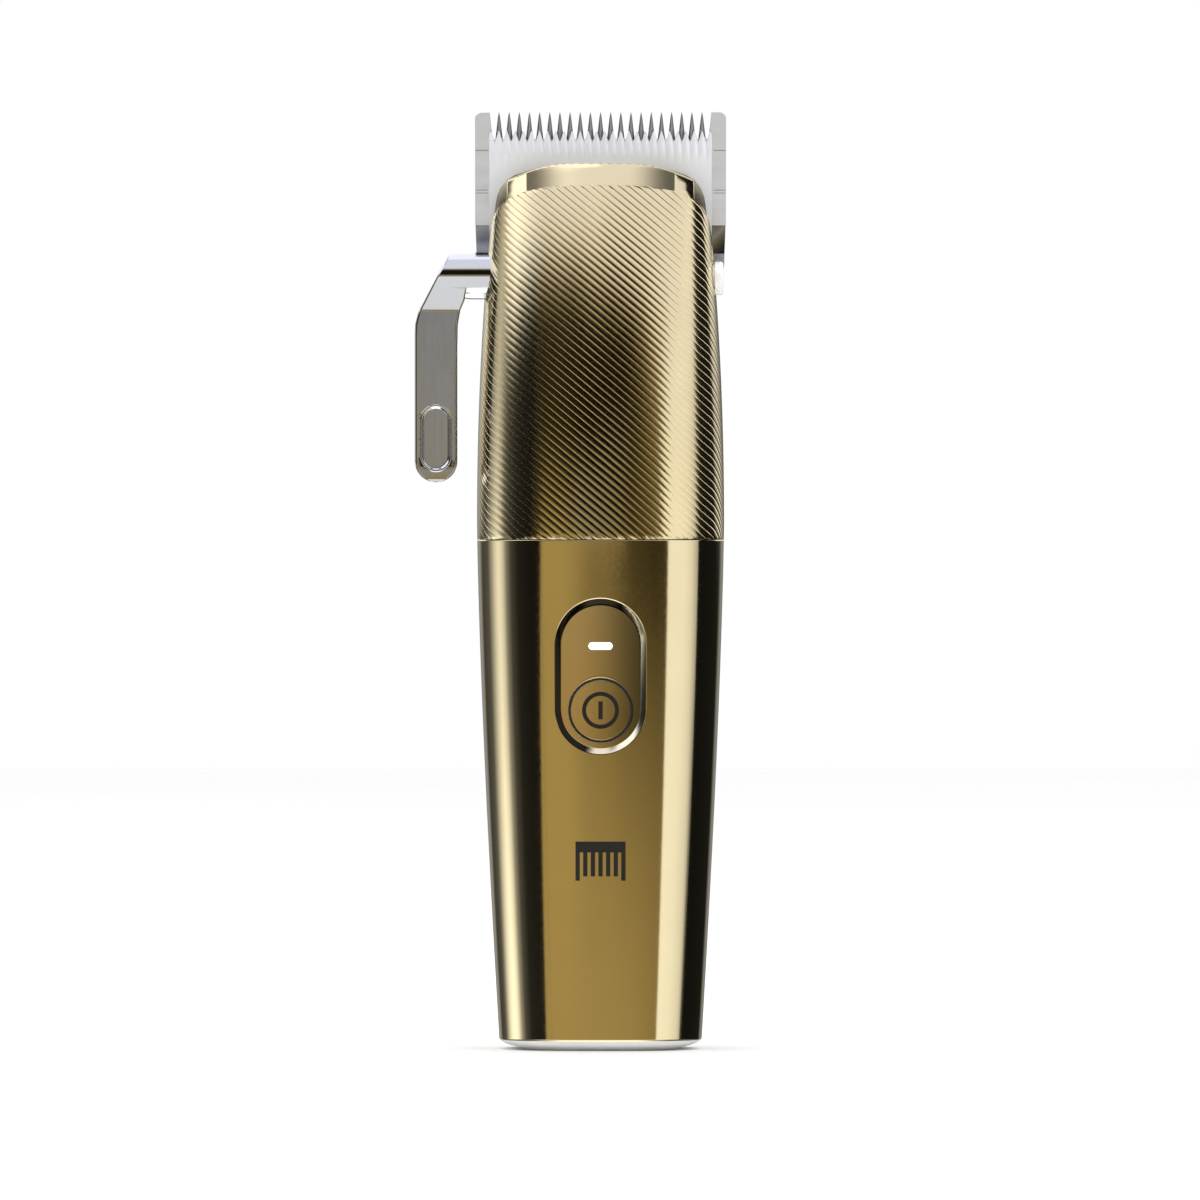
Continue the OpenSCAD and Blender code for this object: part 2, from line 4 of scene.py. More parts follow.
import bmesh
import bpy
import numpy as np
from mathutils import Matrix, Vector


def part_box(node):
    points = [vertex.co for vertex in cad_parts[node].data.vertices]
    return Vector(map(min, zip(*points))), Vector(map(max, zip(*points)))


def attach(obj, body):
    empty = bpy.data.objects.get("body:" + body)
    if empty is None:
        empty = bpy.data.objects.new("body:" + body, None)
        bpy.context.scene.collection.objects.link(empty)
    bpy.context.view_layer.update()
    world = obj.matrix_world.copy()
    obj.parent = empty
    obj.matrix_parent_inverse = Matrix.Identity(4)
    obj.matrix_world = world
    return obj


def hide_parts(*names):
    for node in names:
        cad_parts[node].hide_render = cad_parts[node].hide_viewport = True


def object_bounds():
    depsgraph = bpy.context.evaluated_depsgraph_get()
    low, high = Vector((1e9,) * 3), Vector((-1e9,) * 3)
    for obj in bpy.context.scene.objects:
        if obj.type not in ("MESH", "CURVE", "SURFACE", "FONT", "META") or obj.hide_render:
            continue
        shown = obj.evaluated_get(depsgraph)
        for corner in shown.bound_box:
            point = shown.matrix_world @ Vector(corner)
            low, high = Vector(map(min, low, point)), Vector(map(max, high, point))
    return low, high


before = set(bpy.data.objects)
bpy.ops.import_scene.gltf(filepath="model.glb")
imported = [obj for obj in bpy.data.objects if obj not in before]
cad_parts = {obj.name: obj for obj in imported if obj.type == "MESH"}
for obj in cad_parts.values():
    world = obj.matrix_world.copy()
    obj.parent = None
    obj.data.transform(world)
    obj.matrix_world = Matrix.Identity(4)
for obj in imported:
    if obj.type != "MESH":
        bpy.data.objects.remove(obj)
cad_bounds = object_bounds()
MM = 0.001
SIDES = (-1, 1)


# -------- frame sizes, in millimetres

def box_mm(node):
    """Lowest and highest corner of a CAD node, in millimetres."""
    low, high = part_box(node)
    return [v / MM for v in low], [v / MM for v in high]


sleeve_low, sleeve_high = box_mm("knurled_sleeve")
housing_low, housing_high = box_mm("lower_housing")
comb_low, comb_high = box_mm("comb_blade")
button_low, button_high = box_mm("power_button")
pipe_low, pipe_high = box_mm("light_pipe")
panel_low, panel_high = box_mm("control_panel")
pivot_low, pivot_high = box_mm("pivot_cap")

# Body form, as in the CAD
BODY_W = sleeve_high[0] - sleeve_low[0]
BASE_W = 37.2
DEPTH_RATIO = 0.875
SQUARENESS = 2.8
WIDE_Z = 98.0
SHOULDER_Z = 149.6
NOSE_Z = 159.4
HEEL_Z = 139.0
NARROWING = 2.25
SET_BACK = 8.9
BACK_SET_IN = 7.5
FRONT_DEPTH = BODY_W / 2 * DEPTH_RATIO
WALL = 1.4
# Fall of the sleeve's top edge with depth, before and behind the axis
EDGE_FALL_FRONT = 0.883
EDGE_FALL_BACK = 1.165
SEAM_Z = sleeve_low[2]
FOOT_Z = housing_low[2]


def half_w(z):
    """Half width of the body at height z."""
    z = np.asarray(z, float)
    up = BODY_W / 2 - NARROWING * (np.maximum(z - WIDE_Z, 0) / (SHOULDER_Z - WIDE_Z)) ** 2
    down = BODY_W / 2 - (BODY_W - BASE_W) / 2 * (np.maximum(WIDE_Z - z, 0) / WIDE_Z) ** 1.4
    return np.where(z > WIDE_Z, up, down)


def depth_at(z, set_in, end_z, power):
    """Distance of a face from the axis; above the widest level it is set in towards end_z."""
    z = np.asarray(z, float)
    up = FRONT_DEPTH - set_in * (np.maximum(z - WIDE_Z, 0) / (end_z - WIDE_Z)) ** power
    return np.where(z > WIDE_Z, up, half_w(z) * DEPTH_RATIO)


def front(z):
    return depth_at(z, SET_BACK, NOSE_Z, 2.6)


def back(z):
    return depth_at(z, BACK_SET_IN, HEEL_Z, 2.2)


def spow(v):
    return np.sign(v) * np.abs(v) ** (2 / SQUARENESS)


def on_body(a, z, inset=0.0):
    """Points of the body's surface at section angle a and height z, moved in by inset."""
    a, z = np.broadcast_arrays(np.asarray(a, float), np.asarray(z, float))
    depth = np.where(np.sin(a) > 0, back(z), front(z)) - inset
    return np.stack([(half_w(z) - inset) * spow(np.cos(a)), depth * spow(np.sin(a)), z], axis=-1)


def front_y(x, z):
    """Depth of the front face at x and z."""
    share = np.clip(np.abs(x) / half_w(z), 0, 1) ** SQUARENESS
    return -front(z) * (1 - share) ** (1 / SQUARENESS)


def edge_z(y):
    """Height of the sleeve's top edge over depth y."""
    return SHOULDER_Z - np.where(y < 0, EDGE_FALL_FRONT, EDGE_FALL_BACK) * y


def rim_z(a):
    """Height of the sleeve's top edge at section angle a."""
    z = np.full_like(np.asarray(a, float), 148.0)
    for _ in range(16):
        z = edge_z(on_body(a, z)[..., 1])
    return z


def even_angles(count):
    """Section angles evenly spaced along the widest section, from the back centre round by the left side."""
    dense = np.linspace(math.pi / 2, 2.5 * math.pi, 8001)
    p = on_body(dense, WIDE_Z)
    run = np.concatenate([[0], np.cumsum(np.linalg.norm(np.diff(p, axis=0), axis=1))])
    return np.interp(np.linspace(0, run[-1], count, endpoint=False), run, dense)


# -------- materials

def fill(tree, node, inputs):
    """Fills a node's inputs, given by name or place, with values or with links from other nodes."""
    for key, value in inputs.items():
        if isinstance(value, bpy.types.NodeSocket):
            tree.links.new(value, node.inputs[key])
        else:
            node.inputs[key].default_value = value


def map_range(tree, value, low, high, to=(0, 1), kind="SMOOTHSTEP"):
    """The value's range from low to high, mapped to another range."""
    node = tree.nodes.new("ShaderNodeMapRange")
    node.interpolation_type = kind
    fill(tree, node, {"Value": value, "From Min": low, "From Max": high, "To Min": to[0], "To Max": to[1]})
    return node.outputs["Result"]


def mix_color(tree, share, a, b):
    """Colour a where share is 0, b where it is 1."""
    node = tree.nodes.new("ShaderNodeMix")
    node.data_type = "RGBA"
    fill(tree, node, {"Factor": share, "A": a, "B": b})
    return node.outputs["Result"]


def material(name, color, metallic=0.0, rough=(0.3, 0.4), grain=900.0, stretch=(1, 1, 1), bump=0.02,
             tint=0.06, coat=0.0, emission=0.0):
    """Principled material with a fine grain in its colour, roughness and height."""
    m = bpy.data.materials.new(name)
    m.use_nodes = True
    tree = m.node_tree
    shader = tree.nodes["Principled BSDF"]
    coords = tree.nodes.new("ShaderNodeTexCoord")
    mapping = tree.nodes.new("ShaderNodeMapping")
    fill(tree, mapping, {"Vector": coords.outputs["Object"], "Scale": stretch})

    def noise(scale, detail):
        node = tree.nodes.new("ShaderNodeTexNoise")
        fill(tree, node, {"Vector": mapping.outputs["Vector"], "Scale": scale, "Detail": detail})
        return node.outputs["Fac"]

    ramp = tree.nodes.new("ShaderNodeValToRGB")
    fill(tree, ramp, {"Fac": noise(grain * 0.08, 4)})
    for stop, spot, share in zip(ramp.color_ramp.elements, (0.3, 0.7), (1 - tint, 1 + tint)):
        stop.position = spot
        stop.color = [min(1, c * share) for c in color] + [1]
    fine = noise(grain, 6)
    fill(tree, shader, {"Metallic": metallic, "Base Color": ramp.outputs["Color"], "Coat Weight": coat,
                        "Coat Roughness": 0.05, "Roughness": map_range(tree, fine, 0.3, 0.7, rough, "LINEAR")})
    if bump:
        height = tree.nodes.new("ShaderNodeBump")
        fill(tree, height, {"Strength": bump, "Distance": 0.00005, "Height": fine})
        fill(tree, shader, {"Normal": height.outputs["Normal"]})
    if emission:
        fill(tree, shader, {"Emission Color": list(color) + [1], "Emission Strength": emission})
    return m


GOLD = (0.87, 0.75, 0.47)
gold = material("polished_gold", GOLD, 1, (0.07, 0.11), 1500, bump=0.015, tint=0.015)
knurl_gold = material("ridged_gold", GOLD, 1, (0.11, 0.17), 1800, bump=0.03, tint=0.02)
panel_gold = material("panel_gold", (0.86, 0.68, 0.38), 1, (0.06, 0.09), 2500, bump=0.01, tint=0.015)
# Gold of the recess wall, paler than the shell's gold as a painted highlight; painted shade is added to it
# below
recess_lit_and_shaded_gold = material("recess_lit_and_shaded_gold", (0.95, 0.86, 0.62), 1, (0.16, 0.2), 1800, bump=0.01, tint=0.02)
blade_steel = material("ground_steel", (0.64, 0.64, 0.65), 1, (0.16, 0.26), 700, (0.15, 1, 1), 0.05, 0.03)
cutter_white = material("bright_cutter", (0.8, 0.815, 0.85), 0.2, (0.34, 0.42), 900, (0.2, 1, 1), 0.03, 0.01)
# Painted shade: the teeth use the comb's ground steel made much darker
tooth_steel = material("tooth_steel", (0.3, 0.3, 0.315), 1, (0.12, 0.2), 900, (1, 1, 0.2), 0.03, 0.03)
lever_chrome = material("satin_chrome", (0.69, 0.7, 0.725), 1, (0.08, 0.11), 1400, (1, 1, 0.12), 0.03, 0.02)
carrier_chrome = material("dark_chrome", (0.32, 0.33, 0.35), 1, (0.2, 0.24), 2200, bump=0.01, tint=0.02)
cap_silver = material("pearl_silver", (0.92, 0.92, 0.91), 0.1, (0.28, 0.36), 900, bump=0.02, tint=0.02)
dark_steel = material("dark_steel", (0.3, 0.3, 0.32), 1, (0.25, 0.4), 1200, bump=0.05, tint=0.08)
spring_steel = material("spring_steel", (0.46, 0.49, 0.55), 1, (0.2, 0.32), 900, (1, 1, 0.2), 0.04, 0.06)
pale_plastic = material("pale_plastic", (0.8, 0.8, 0.78), 0, (0.32, 0.42), 1600, bump=0.08, tint=0.02)
black_plastic = material("black_plastic", (0.018, 0.018, 0.019), 0, (0.38, 0.5), 1600, bump=0.15, tint=0.15)
black_print = material("black_print", (0.012, 0.011, 0.010), 0, (0.3, 0.4), 2400, bump=0.05, tint=0.15)
led_white = material("lit_window", (1.0, 0.99, 0.97), 0, (0.1, 0.16), 900, bump=0.0, tint=0.01, emission=1.1)
copper = material("winding", (0.6, 0.24, 0.1), 1, (0.25, 0.4), 1500, (1, 1, 0.1), 0.3, 0.15)
board_green = material("solder_mask", (0.02, 0.16, 0.06), 0, (0.2, 0.35), 900, bump=0.1, tint=0.15, coat=0.4)
wrap_blue = material("cell_wrap", (0.08, 0.24, 0.48), 0, (0.2, 0.3), 600, bump=0.05, tint=0.05, coat=0.5)
nickel = material("nickel", (0.66, 0.63, 0.57), 1, (0.2, 0.35), 900, (1, 0.2, 1), 0.05, 0.05)
rubber = material("rubber", (0.025, 0.025, 0.025), 0, (0.6, 0.75), 1400, bump=0.3, tint=0.2)
bronze = material("bronze", (0.5, 0.32, 0.13), 1, (0.3, 0.45), 1300, bump=0.2, tint=0.1)
wire_red = material("lead_sleeve", (0.5, 0.03, 0.02), 0, (0.35, 0.45), 1200, bump=0.05, tint=0.05)
led_chip = material("led_chip", (0.9, 0.86, 0.66), 0, (0.2, 0.3), 1200, bump=0.05, tint=0.05)


def add_painted_shade(mat, direction, low, high, dark):
    """Painted shade on a metal: its colour is darkened below low, measured in mm along a direction, and left as
    it is above high.
    """
    tree = mat.node_tree
    base = tree.nodes["Principled BSDF"].inputs["Base Color"]
    coords = tree.nodes.new("ShaderNodeTexCoord")
    dot = tree.nodes.new("ShaderNodeVectorMath")
    dot.operation = "DOT_PRODUCT"
    fill(tree, dot, {0: coords.outputs["Object"], 1: [v / MM for v in direction]})
    share = map_range(tree, dot.outputs["Value"], low, high)
    tree.links.new(mix_color(tree, share, dark, base.links[0].from_socket), base)


# Painted shade: the recess wall is painted darker towards its upper left, the panel darker towards its right
SHADE_X, SHADE_Z = 0.97, -0.24
recess_middle = SHADE_Z * (panel_low[2] + panel_high[2]) / 2
add_painted_shade(recess_lit_and_shaded_gold, (SHADE_X, 0, SHADE_Z), recess_middle + 0.4, recess_middle + 2.4, (0.022, 0.018, 0.012, 1))
add_painted_shade(panel_gold, (-1, 0, 0), -8.5, 5.5, (0.15, 0.135, 0.08, 1))

CAD_MATERIALS = [
    (dark_steel, ["cap_screws", "motor_screws", "blade_screws", "pivot_screw", "lever_shaft", "motor_magnets",
                  "drive_eccentric"]),
    (black_plastic, ["switch_plunger", "power_switch", "battery_holder", "inner_chassis"]),
    (pale_plastic, ["motor_end_cap", "cutter_yoke", "lever_bush"]),
    (blade_steel, ["charge_port", "motor_can"]),
    (led_chip, ["status_led"]), (board_green, ["circuit_board"]), (wrap_blue, ["battery_cell"]),
    (nickel, ["battery_tabs"]), (copper, ["motor_rotor"]), (bronze, ["motor_bearing"]),
    (rubber, ["motor_isolator"]), (wire_red, ["motor_leads"]), (spring_steel, ["cutter_spring"]),
]


def paint(obj, mat):
    obj.data.materials.clear()
    obj.data.materials.append(mat)


# -------- mesh helpers

def skin_normals(mesh):
    """Gives every corner on the body's skin the exact normal of the body form."""
    co = np.empty(len(mesh.vertices) * 3)
    mesh.vertices.foreach_get("co", co)
    x, y, z = (co.reshape(-1, 3) / MM).T

    def form(x, y, z):
        depth = np.where(y > 0, back(z), front(z))
        return ((np.abs(x) / half_w(z)) ** SQUARENESS + (np.abs(y) / depth) ** SQUARENESS) ** (1 / SQUARENESS)

    e = 0.01
    slope = np.stack([form(x + e, y, z) - form(x - e, y, z), form(x, y + e, z) - form(x, y - e, z),
                      form(x, y, z + e) - form(x, y, z - e)], axis=-1) / (2 * e)
    size = np.linalg.norm(slope, axis=1)
    on_skin = np.abs(form(x, y, z) - 1) / size < 0.004
    normal = slope / size[:, None]
    corners = np.empty(len(mesh.loops) * 3, np.float32)
    mesh.corner_normals.foreach_get("vector", corners)
    corners = corners.reshape(-1, 3)
    index = np.empty(len(mesh.loops), np.int32)
    mesh.loops.foreach_get("vertex_index", index)
    # Corners of faces that lie across the skin keep their own normal
    fits = on_skin[index] & (np.einsum("ij,ij->i", corners, normal[index]) > 0.97)
    corners[fits] = normal[index][fits]
    mesh.normals_split_custom_set([tuple(n) for n in corners])


def clean(mesh, merge=0.0, flatten=False):
    """Joins points closer than merge mm, rejoins flat faces if asked, and turns all faces outwards."""
    bm = bmesh.new()
    bm.from_mesh(mesh)
    if merge:
        bmesh.ops.remove_doubles(bm, verts=bm.verts, dist=merge * MM)
    if flatten:
        bmesh.ops.dissolve_limit(bm, angle_limit=math.radians(1), verts=bm.verts, edges=bm.edges)
    elif merge:
        bmesh.ops.dissolve_degenerate(bm, dist=merge * MM / 4, edges=bm.edges)
    bmesh.ops.recalc_face_normals(bm, faces=bm.faces)
    bm.to_mesh(mesh)
    bm.free()


def mesh_from(name, shape):
    """Mesh of a shape: its points in millimetres and its faces."""
    points, faces = shape
    mesh = bpy.data.meshes.new(name)
    mesh.from_pydata([tuple(float(c) * MM for c in p) for p in points], [], faces)
    return mesh


def place(name, data):
    """New object in the scene."""
    obj = bpy.data.objects.new(name, data)
    bpy.context.scene.collection.objects.link(obj)
    return obj


def piece(name, shape, mat, body, slot, replaces=(), merge=0.002, **looks):
    """A finished mesh piece from a shape: cleaned, shaded, and tied to its body; its slot is not used."""
    mesh = mesh_from(name, shape)
    clean(mesh, merge)
    obj = place(name, mesh)
    finish_piece(obj, mat, body, slot, replaces, **looks)
    return obj


def finish_piece(obj, mat, body, slot, replaces=(), sharp=35, bevel=0.0):
    """Shading, bevel, material and body of a piece; the slot is not used."""
    shade(obj, sharp)
    if bevel:
        add_bevel(obj, bevel)
    paint(obj, mat)
    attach(obj, body)
    if replaces:
        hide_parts(*replaces)


def shade(obj, sharp):
    """Smooth shading that breaks at edges of more than sharp degrees."""
    obj.data.shade_smooth()
    obj.data.set_sharp_from_angle(angle=math.radians(sharp))


def add_bevel(obj, width):
    """Eases the object's edges over a width in millimetres."""
    mod = obj.modifiers.new("edge", "BEVEL")
    mod.width = width * MM
    mod.segments = 2
    mod.limit_method = "ANGLE"
    mod.angle_limit = math.radians(32)
    mod.harden_normals = True


def keep_flats(obj):
    """Lets a flat face keep its own normal beside its rounded edges."""
    mod = obj.modifiers.new("flats", "WEIGHTED_NORMAL")
    mod.keep_sharp = True


def cut_away(obj, solids):
    """Cuts solids out of a piece and bakes the cuts into its mesh."""
    for solid in solids:
        mesh = mesh_from("cutting_tool", solid)
        clean(mesh)
        tool = place("cutting_tool", mesh)
        mod = obj.modifiers.new("cut", "BOOLEAN")
        mod.operation = "DIFFERENCE"
        mod.solver = "EXACT"
        mod.object = tool
        bpy.context.view_layer.update()
        graph = bpy.context.evaluated_depsgraph_get()
        result = bpy.data.meshes.new_from_object(obj.evaluated_get(graph))
        obj.modifiers.clear()
        obj.data = result
        bpy.data.objects.remove(tool)


def rings_mesh(rings, closed=True, cap_first=False, cap_last=False):
    """Points and faces of a stack of equal rings."""
    count = len(rings[0])
    points = [p for ring in rings for p in ring]
    faces = []
    last = count if closed else count - 1
    for i in range(len(rings) - 1):
        for j in range(last):
            k = (j + 1) % count
            faces.append((i * count + j, i * count + k, (i + 1) * count + k, (i + 1) * count + j))
    if cap_first:
        faces.append(tuple(range(count))[::-1])
    if cap_last:
        faces.append(tuple(range((len(rings) - 1) * count, len(rings) * count)))
    return points, faces


def solid_mesh(rings):
    """Points and faces of a stack of rings closed at both ends."""
    return rings_mesh(rings, cap_first=True, cap_last=True)


def plate_mesh(outline, y1, y2):
    """Points and faces of a flat outline of [x, z] points made solid between y1 and y2."""
    n = len(outline)
    points = [(x, y1, z) for x, z in outline] + [(x, y2, z) for x, z in outline]
    faces = [tuple(range(n)), tuple(range(2 * n - 1, n - 1, -1))]
    faces += [(i, i + n, (i + 1) % n + n, (i + 1) % n) for i in range(n)]
    return points, faces


def rectangle(x1, x2, z1, z2):
    return [(x1, z1), (x2, z1), (x2, z2), (x1, z2)]


def arc(u0, v0, r, start, end, count, endpoint=True):
    """Flat points on an arc round (u0, v0), from one angle to another in radians."""
    angles = np.linspace(start, end, count, endpoint=endpoint)
    return [(u0 + r * math.cos(a), v0 + r * math.sin(a)) for a in angles]


def circle(u0, v0, r, count):
    return arc(u0, v0, r, 0, 2 * math.pi, count, endpoint=False)


def soften(node, name, mat, body, slot, bevel):
    """A copy of a CAD node with its flat faces rejoined and its edges eased, standing for the node."""
    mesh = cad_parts[node].data.copy()
    clean(mesh, 0.002, flatten=True)
    finish_piece(place(name, mesh), mat, body, slot, (node,), bevel=bevel)


# Blade frame of the CAD: y = 0 between comb and cutter, z = 0 at the comb tips
LEAN = math.radians(12)
BLADE_Y = 2.8
TIP_Z = 173.2


def from_blade(shape):
    """The shape moved from the blade frame into the row frame."""
    points, faces = shape
    c, s = math.cos(LEAN), math.sin(LEAN)
    return [(x, BLADE_Y + y * c - z * s, TIP_Z + y * s + z * c) for x, y, z in points], faces


# -------- camera and stage

VIEW_DISTANCE = 2.4
VIEW_WIDTH = 0.222
VIEW_X = -0.0001
# Share of the object's height at which the camera stands
VIEW_SHARE = 0.4785
FLOOR_HALF = 4.0


def make_camera():
    """Long lens straight at the front, framed from the object's height."""
    low, high = cad_bounds
    data = bpy.data.cameras.new("view")
    data.sensor_width = 36
    data.lens = data.sensor_width * VIEW_DISTANCE / VIEW_WIDTH
    data.clip_end = 20
    cam = place("view", data)
    cam.location = (VIEW_X, -VIEW_DISTANCE, low[2] + (high[2] - low[2]) * VIEW_SHARE)
    cam.rotation_euler = (math.pi / 2, 0, 0)
    bpy.context.scene.camera = cam


def make_floor():
    mesh = bpy.data.meshes.new("floor")
    r = FLOOR_HALF
    mesh.from_pydata([(-r, -r, 0), (r, -r, 0), (r, r, 0), (-r, r, 0)], [], [(0, 1, 2, 3)])
    floor = place("floor", mesh)
    paint(floor, material("pale_floor", (0.88, 0.88, 0.88), 0.0, (0.85, 0.95), 30, bump=0.0, tint=0.005))
    floor.visible_glossy = False


# Studio seen in reflections: light over the bearing, in degrees from the camera's side towards +X.
# First level with the object, then below it
STUDIO = [
    (-180, 0.05), (-170, 0.3), (-158, 0.3), (-148, 0.05), (-125, 0.1), (-113, 0.42), (-105, 0.75), (-96, 1.0),
    (-87, 0.75), (-79, 0.24), (-70, 0.06), (-58, 0.016), (-29.6, 0.004), (-29, 0.4), (-11, 0.4), (-6, 0.34),
    (0, 0.19), (4, 0.1), (10, 0.06), (24, 0.035), (36.9, 0.04), (37.5, 1), (60, 1), (72, 0.85), (84.4, 0.45),
    (85, 0.006), (148, 0.012), (160, 0.25), (170, 0.25), (180, 0.05)
]
LOWER = [
    (-180, 0.45), (-160, 0.3), (-146, 0.06), (-132, 0.1), (-124, 0.5), (-112, 1.3), (-97, 1.6), (-87, 1.1),
    (-79, 0.35), (-70, 0.08), (-58, 0.02), (-29.6, 0.005), (-29, 0.41), (-10, 0.41), (12, 0.37), (37.4, 0.28),
    (38, 1.1), (58, 1), (74, 0.8), (80.6, 0.45), (81.4, 0.006), (148, 0.012), (162, 0.25), (180, 0.45)
]
# Height in degrees above which the overhead softbox is seen
OVERHEAD = [
    (-180, 6), (-150, 2), (-137, 3), (-130, 24), (-116, 40), (-108, 32), (-96, 24), (-80, 17), (-65, 18),
    (-55, 22), (-37, 28), (-22, 31), (2, 32.5), (10, 29.5), (24, 25.5), (37, 15), (60, 5), (86, 8), (94, 21),
    (101, 34), (112, 60), (127, 52), (134, 6), (139, 2), (150, 2), (180, 6)
]
# Largest values that the ramps hold
LIGHT_SCALE = 6
HEIGHT_SCALE = 80
PAPER = 0.41
WARM = (1, 0.76, 0.32, 1)
COOL = (1.0, 1.01, 1.13, 1)


def ramp_node(nodes, stops, scale):
    """Colour ramp over bearing whose grey is the stop's value divided by scale."""
    node = nodes.new("ShaderNodeValToRGB")
    ramp = node.color_ramp
    for i, (bearing, value) in enumerate(stops):
        spot = bearing / 360 + 0.5
        element = ramp.elements[i] if i < 2 else ramp.elements.new(spot)
        element.position = spot
        element.color = [value / scale] * 3 + [1]
    return node


def make_world():
    """Softboxes, dark flags and white paper, as the metal and the camera see them."""
    world = bpy.data.worlds.new("studio")
    bpy.context.scene.world = world
    world.use_nodes = True
    tree = world.node_tree
    nodes = tree.nodes
    nodes.clear()

    def math_node(kind, *values):
        node = nodes.new("ShaderNodeMath")
        node.operation = kind
        fill(tree, node, dict(enumerate(values)))
        return node.outputs[0]

    def times(a, b):
        return math_node("MULTIPLY", a, b)

    def rest(share):
        return math_node("SUBTRACT", 1, share)

    def smooth(value, low, high):
        return map_range(tree, value, low, high)

    def blend(share, a, b):
        """a where share is 0, b where it is 1."""
        return math_node("MULTIPLY_ADD", share, math_node("SUBTRACT", b, a), a)

    coords = nodes.new("ShaderNodeTexCoord")
    split = nodes.new("ShaderNodeSeparateXYZ")
    fill(tree, split, {0: coords.outputs["Generated"]})
    x, y, z = split.outputs
    # Bearing in radians and as a place on the ramps, and rise above the horizon in degrees
    bearing = math_node("ARCTAN2", x, times(y, -1.0))
    spot = math_node("MULTIPLY_ADD", bearing, 1 / (2 * math.pi), 0.5)
    rise = times(math_node("ARCSINE", z), 180 / math.pi)
    side = math_node("ABSOLUTE", x)
    turn = math_node("ABSOLUTE", bearing)

    def from_ramp(stops, scale):
        node = ramp_node(nodes, stops, scale)
        fill(tree, node, {"Fac": spot})
        return times(node.outputs["Color"], scale)

    level = blend(smooth(rise, -8.2, -2.4), from_ramp(LOWER, LIGHT_SCALE), from_ramp(STUDIO, LIGHT_SCALE))
    # Low down, the paper in front reaches farther to the left
    facing = times(smooth(bearing, -0.52, -0.50), rest(smooth(bearing, 0.64, 0.66)))
    reach = smooth(math_node("ADD", bearing, math_node("MULTIPLY_ADD", rise, -0.0183, 0.471)), -0.005, 0.005)
    reach = times(reach, rest(smooth(bearing, -0.51, -0.50)))
    level = blend(reach, level, PAPER)
    facing = math_node("MAXIMUM", facing, reach)
    # Above the horizon the left softbox dims, and the paper darkens between the softboxes
    fade = times(smooth(bearing, -1.0, -1.3), smooth(rise, 0.5, 6.0))
    level = blend(times(fade, 0.45), level, 0.0)
    dusk = times(facing, smooth(rise, -0.8, 5.0))
    level = blend(times(dusk, 0.95), level, blend(smooth(bearing, 0.15, 0.62), 0.0, 0.17))
    # Overhead softbox, brighter to the left
    gap = math_node("SUBTRACT", rise, from_ramp(OVERHEAD, HEIGHT_SCALE))
    above = smooth(gap, -3.5, 9.5)
    level = blend(above, level, blend(smooth(bearing, -0.35, -1.1), 0.9, 1.3))
    # Gaps beside the overhead softbox, seen only by steep faces
    gaps = times(smooth(side, 0.12, 0.30), rest(smooth(side, 0.38, 0.48)))
    level = blend(times(times(gaps, smooth(rise, 56.0, 63.0)), 0.9), level, 0.05)
    # Below the horizon: a grey bounce, darker at the sides, and bright paper under it
    bounce = blend(smooth(turn, 0.5, 1.2), 0.92, 0.16)
    paper = blend(smooth(side, 0.22, 0.45), 1.7, 0.06)
    bounce = blend(smooth(rise, -42.0, -30.0), paper, bounce)
    level = blend(rest(smooth(rise, -19.0, -10.0)), level, bounce)
    # Straight ahead at the camera's height the paper is plain grey above the horizon
    ahead = times(rest(smooth(turn, 0.08, 0.12)), rest(smooth(rise, 3.0, 4.5)))
    ahead = times(ahead, smooth(rise, -1.15, -0.85))
    level = blend(ahead, level, math_node("MULTIPLY_ADD", rise, -0.075, PAPER))
    # Warm card before the lower housing
    card = times(times(facing, rest(smooth(gap, 1.0, 14.0))), smooth(rise, -19.0, -9.5))
    card = times(card, rest(times(ahead, smooth(rise, 0.1, 0.4))))
    paths = nodes.new("ShaderNodeLightPath")
    glossy = paths.outputs["Is Glossy Ray"]
    color = mix_color(tree, times(card, glossy), (1, 1, 1, 1), WARM)
    color = mix_color(tree, times(above, glossy), color, COOL)
    level = blend(paths.outputs["Is Diffuse Ray"], level, 1.15)
    level = blend(paths.outputs["Is Camera Ray"], level, 1.0)
    background = nodes.new("ShaderNodeBackground")
    output = nodes.new("ShaderNodeOutputWorld")
    fill(tree, background, {"Strength": level, "Color": color})
    fill(tree, output, {"Surface": background.outputs[0]})


def make_lamp():
    """Wide overhead panel that lifts the floor and softens the contact shadow."""
    data = bpy.data.lights.new("overhead", "AREA")
    data.size = 2.2
    data.energy = 14
    lamp = place("overhead", data)
    lamp.location = (0, -0.2, 1.8)
    lamp.visible_glossy = False


# -------- ribbed sleeve

RIDGE_RISE = 1.435
RIDGE_SLOPE = math.tan(math.radians(39.8))
RIDGE_DEPTH = 0.13
# Shares of a ridge where its rows lie, and the depth there as a share of the full depth
RIDGE_ROWS = [(0, 0.05), (0.1, 0), (0.25, 0), (0.42, 0.07), (0.58, 0.18), (0.72, 0.31), (0.87, 0.46), (0.94, 1)]
SLEEVE_COLUMNS = 188
# The sleeve's two edges are turned in this far
EDGE_INSET = 0.10
LINING_INSET = 0.16


def ease(share):
    """Smooth step from 0 to 1."""
    return share * share * (3 - 2 * share)


def ridge_travel(angles):
    """Distance across the ridges at each section angle, 0 at the front centre, as shares of the half width."""
    dense = np.linspace(math.pi / 2, 2.5 * math.pi, 16001)
    p = on_body(dense, WIDE_Z)[:, :2]
    step = np.diff(p, axis=0)
    length = np.linalg.norm(step, axis=1)
    across = np.abs(step[:, 0])
    turned = np.degrees(np.arccos(np.clip(across / length, 0, 1)))
    at_front = p[:-1, 1] < 0
    side = ease(np.clip((turned - 45) / 30, 0, 1))
    rate = np.maximum(across / length, np.where(at_front, side, 0.9))
    run = np.concatenate([[0], np.cumsum(rate * length)])
    run -= np.interp(1.5 * math.pi, dense, run)
    return np.interp(angles, dense, run) / (BODY_W / 2), (run[-1] - run[0]) / (BODY_W / 2)


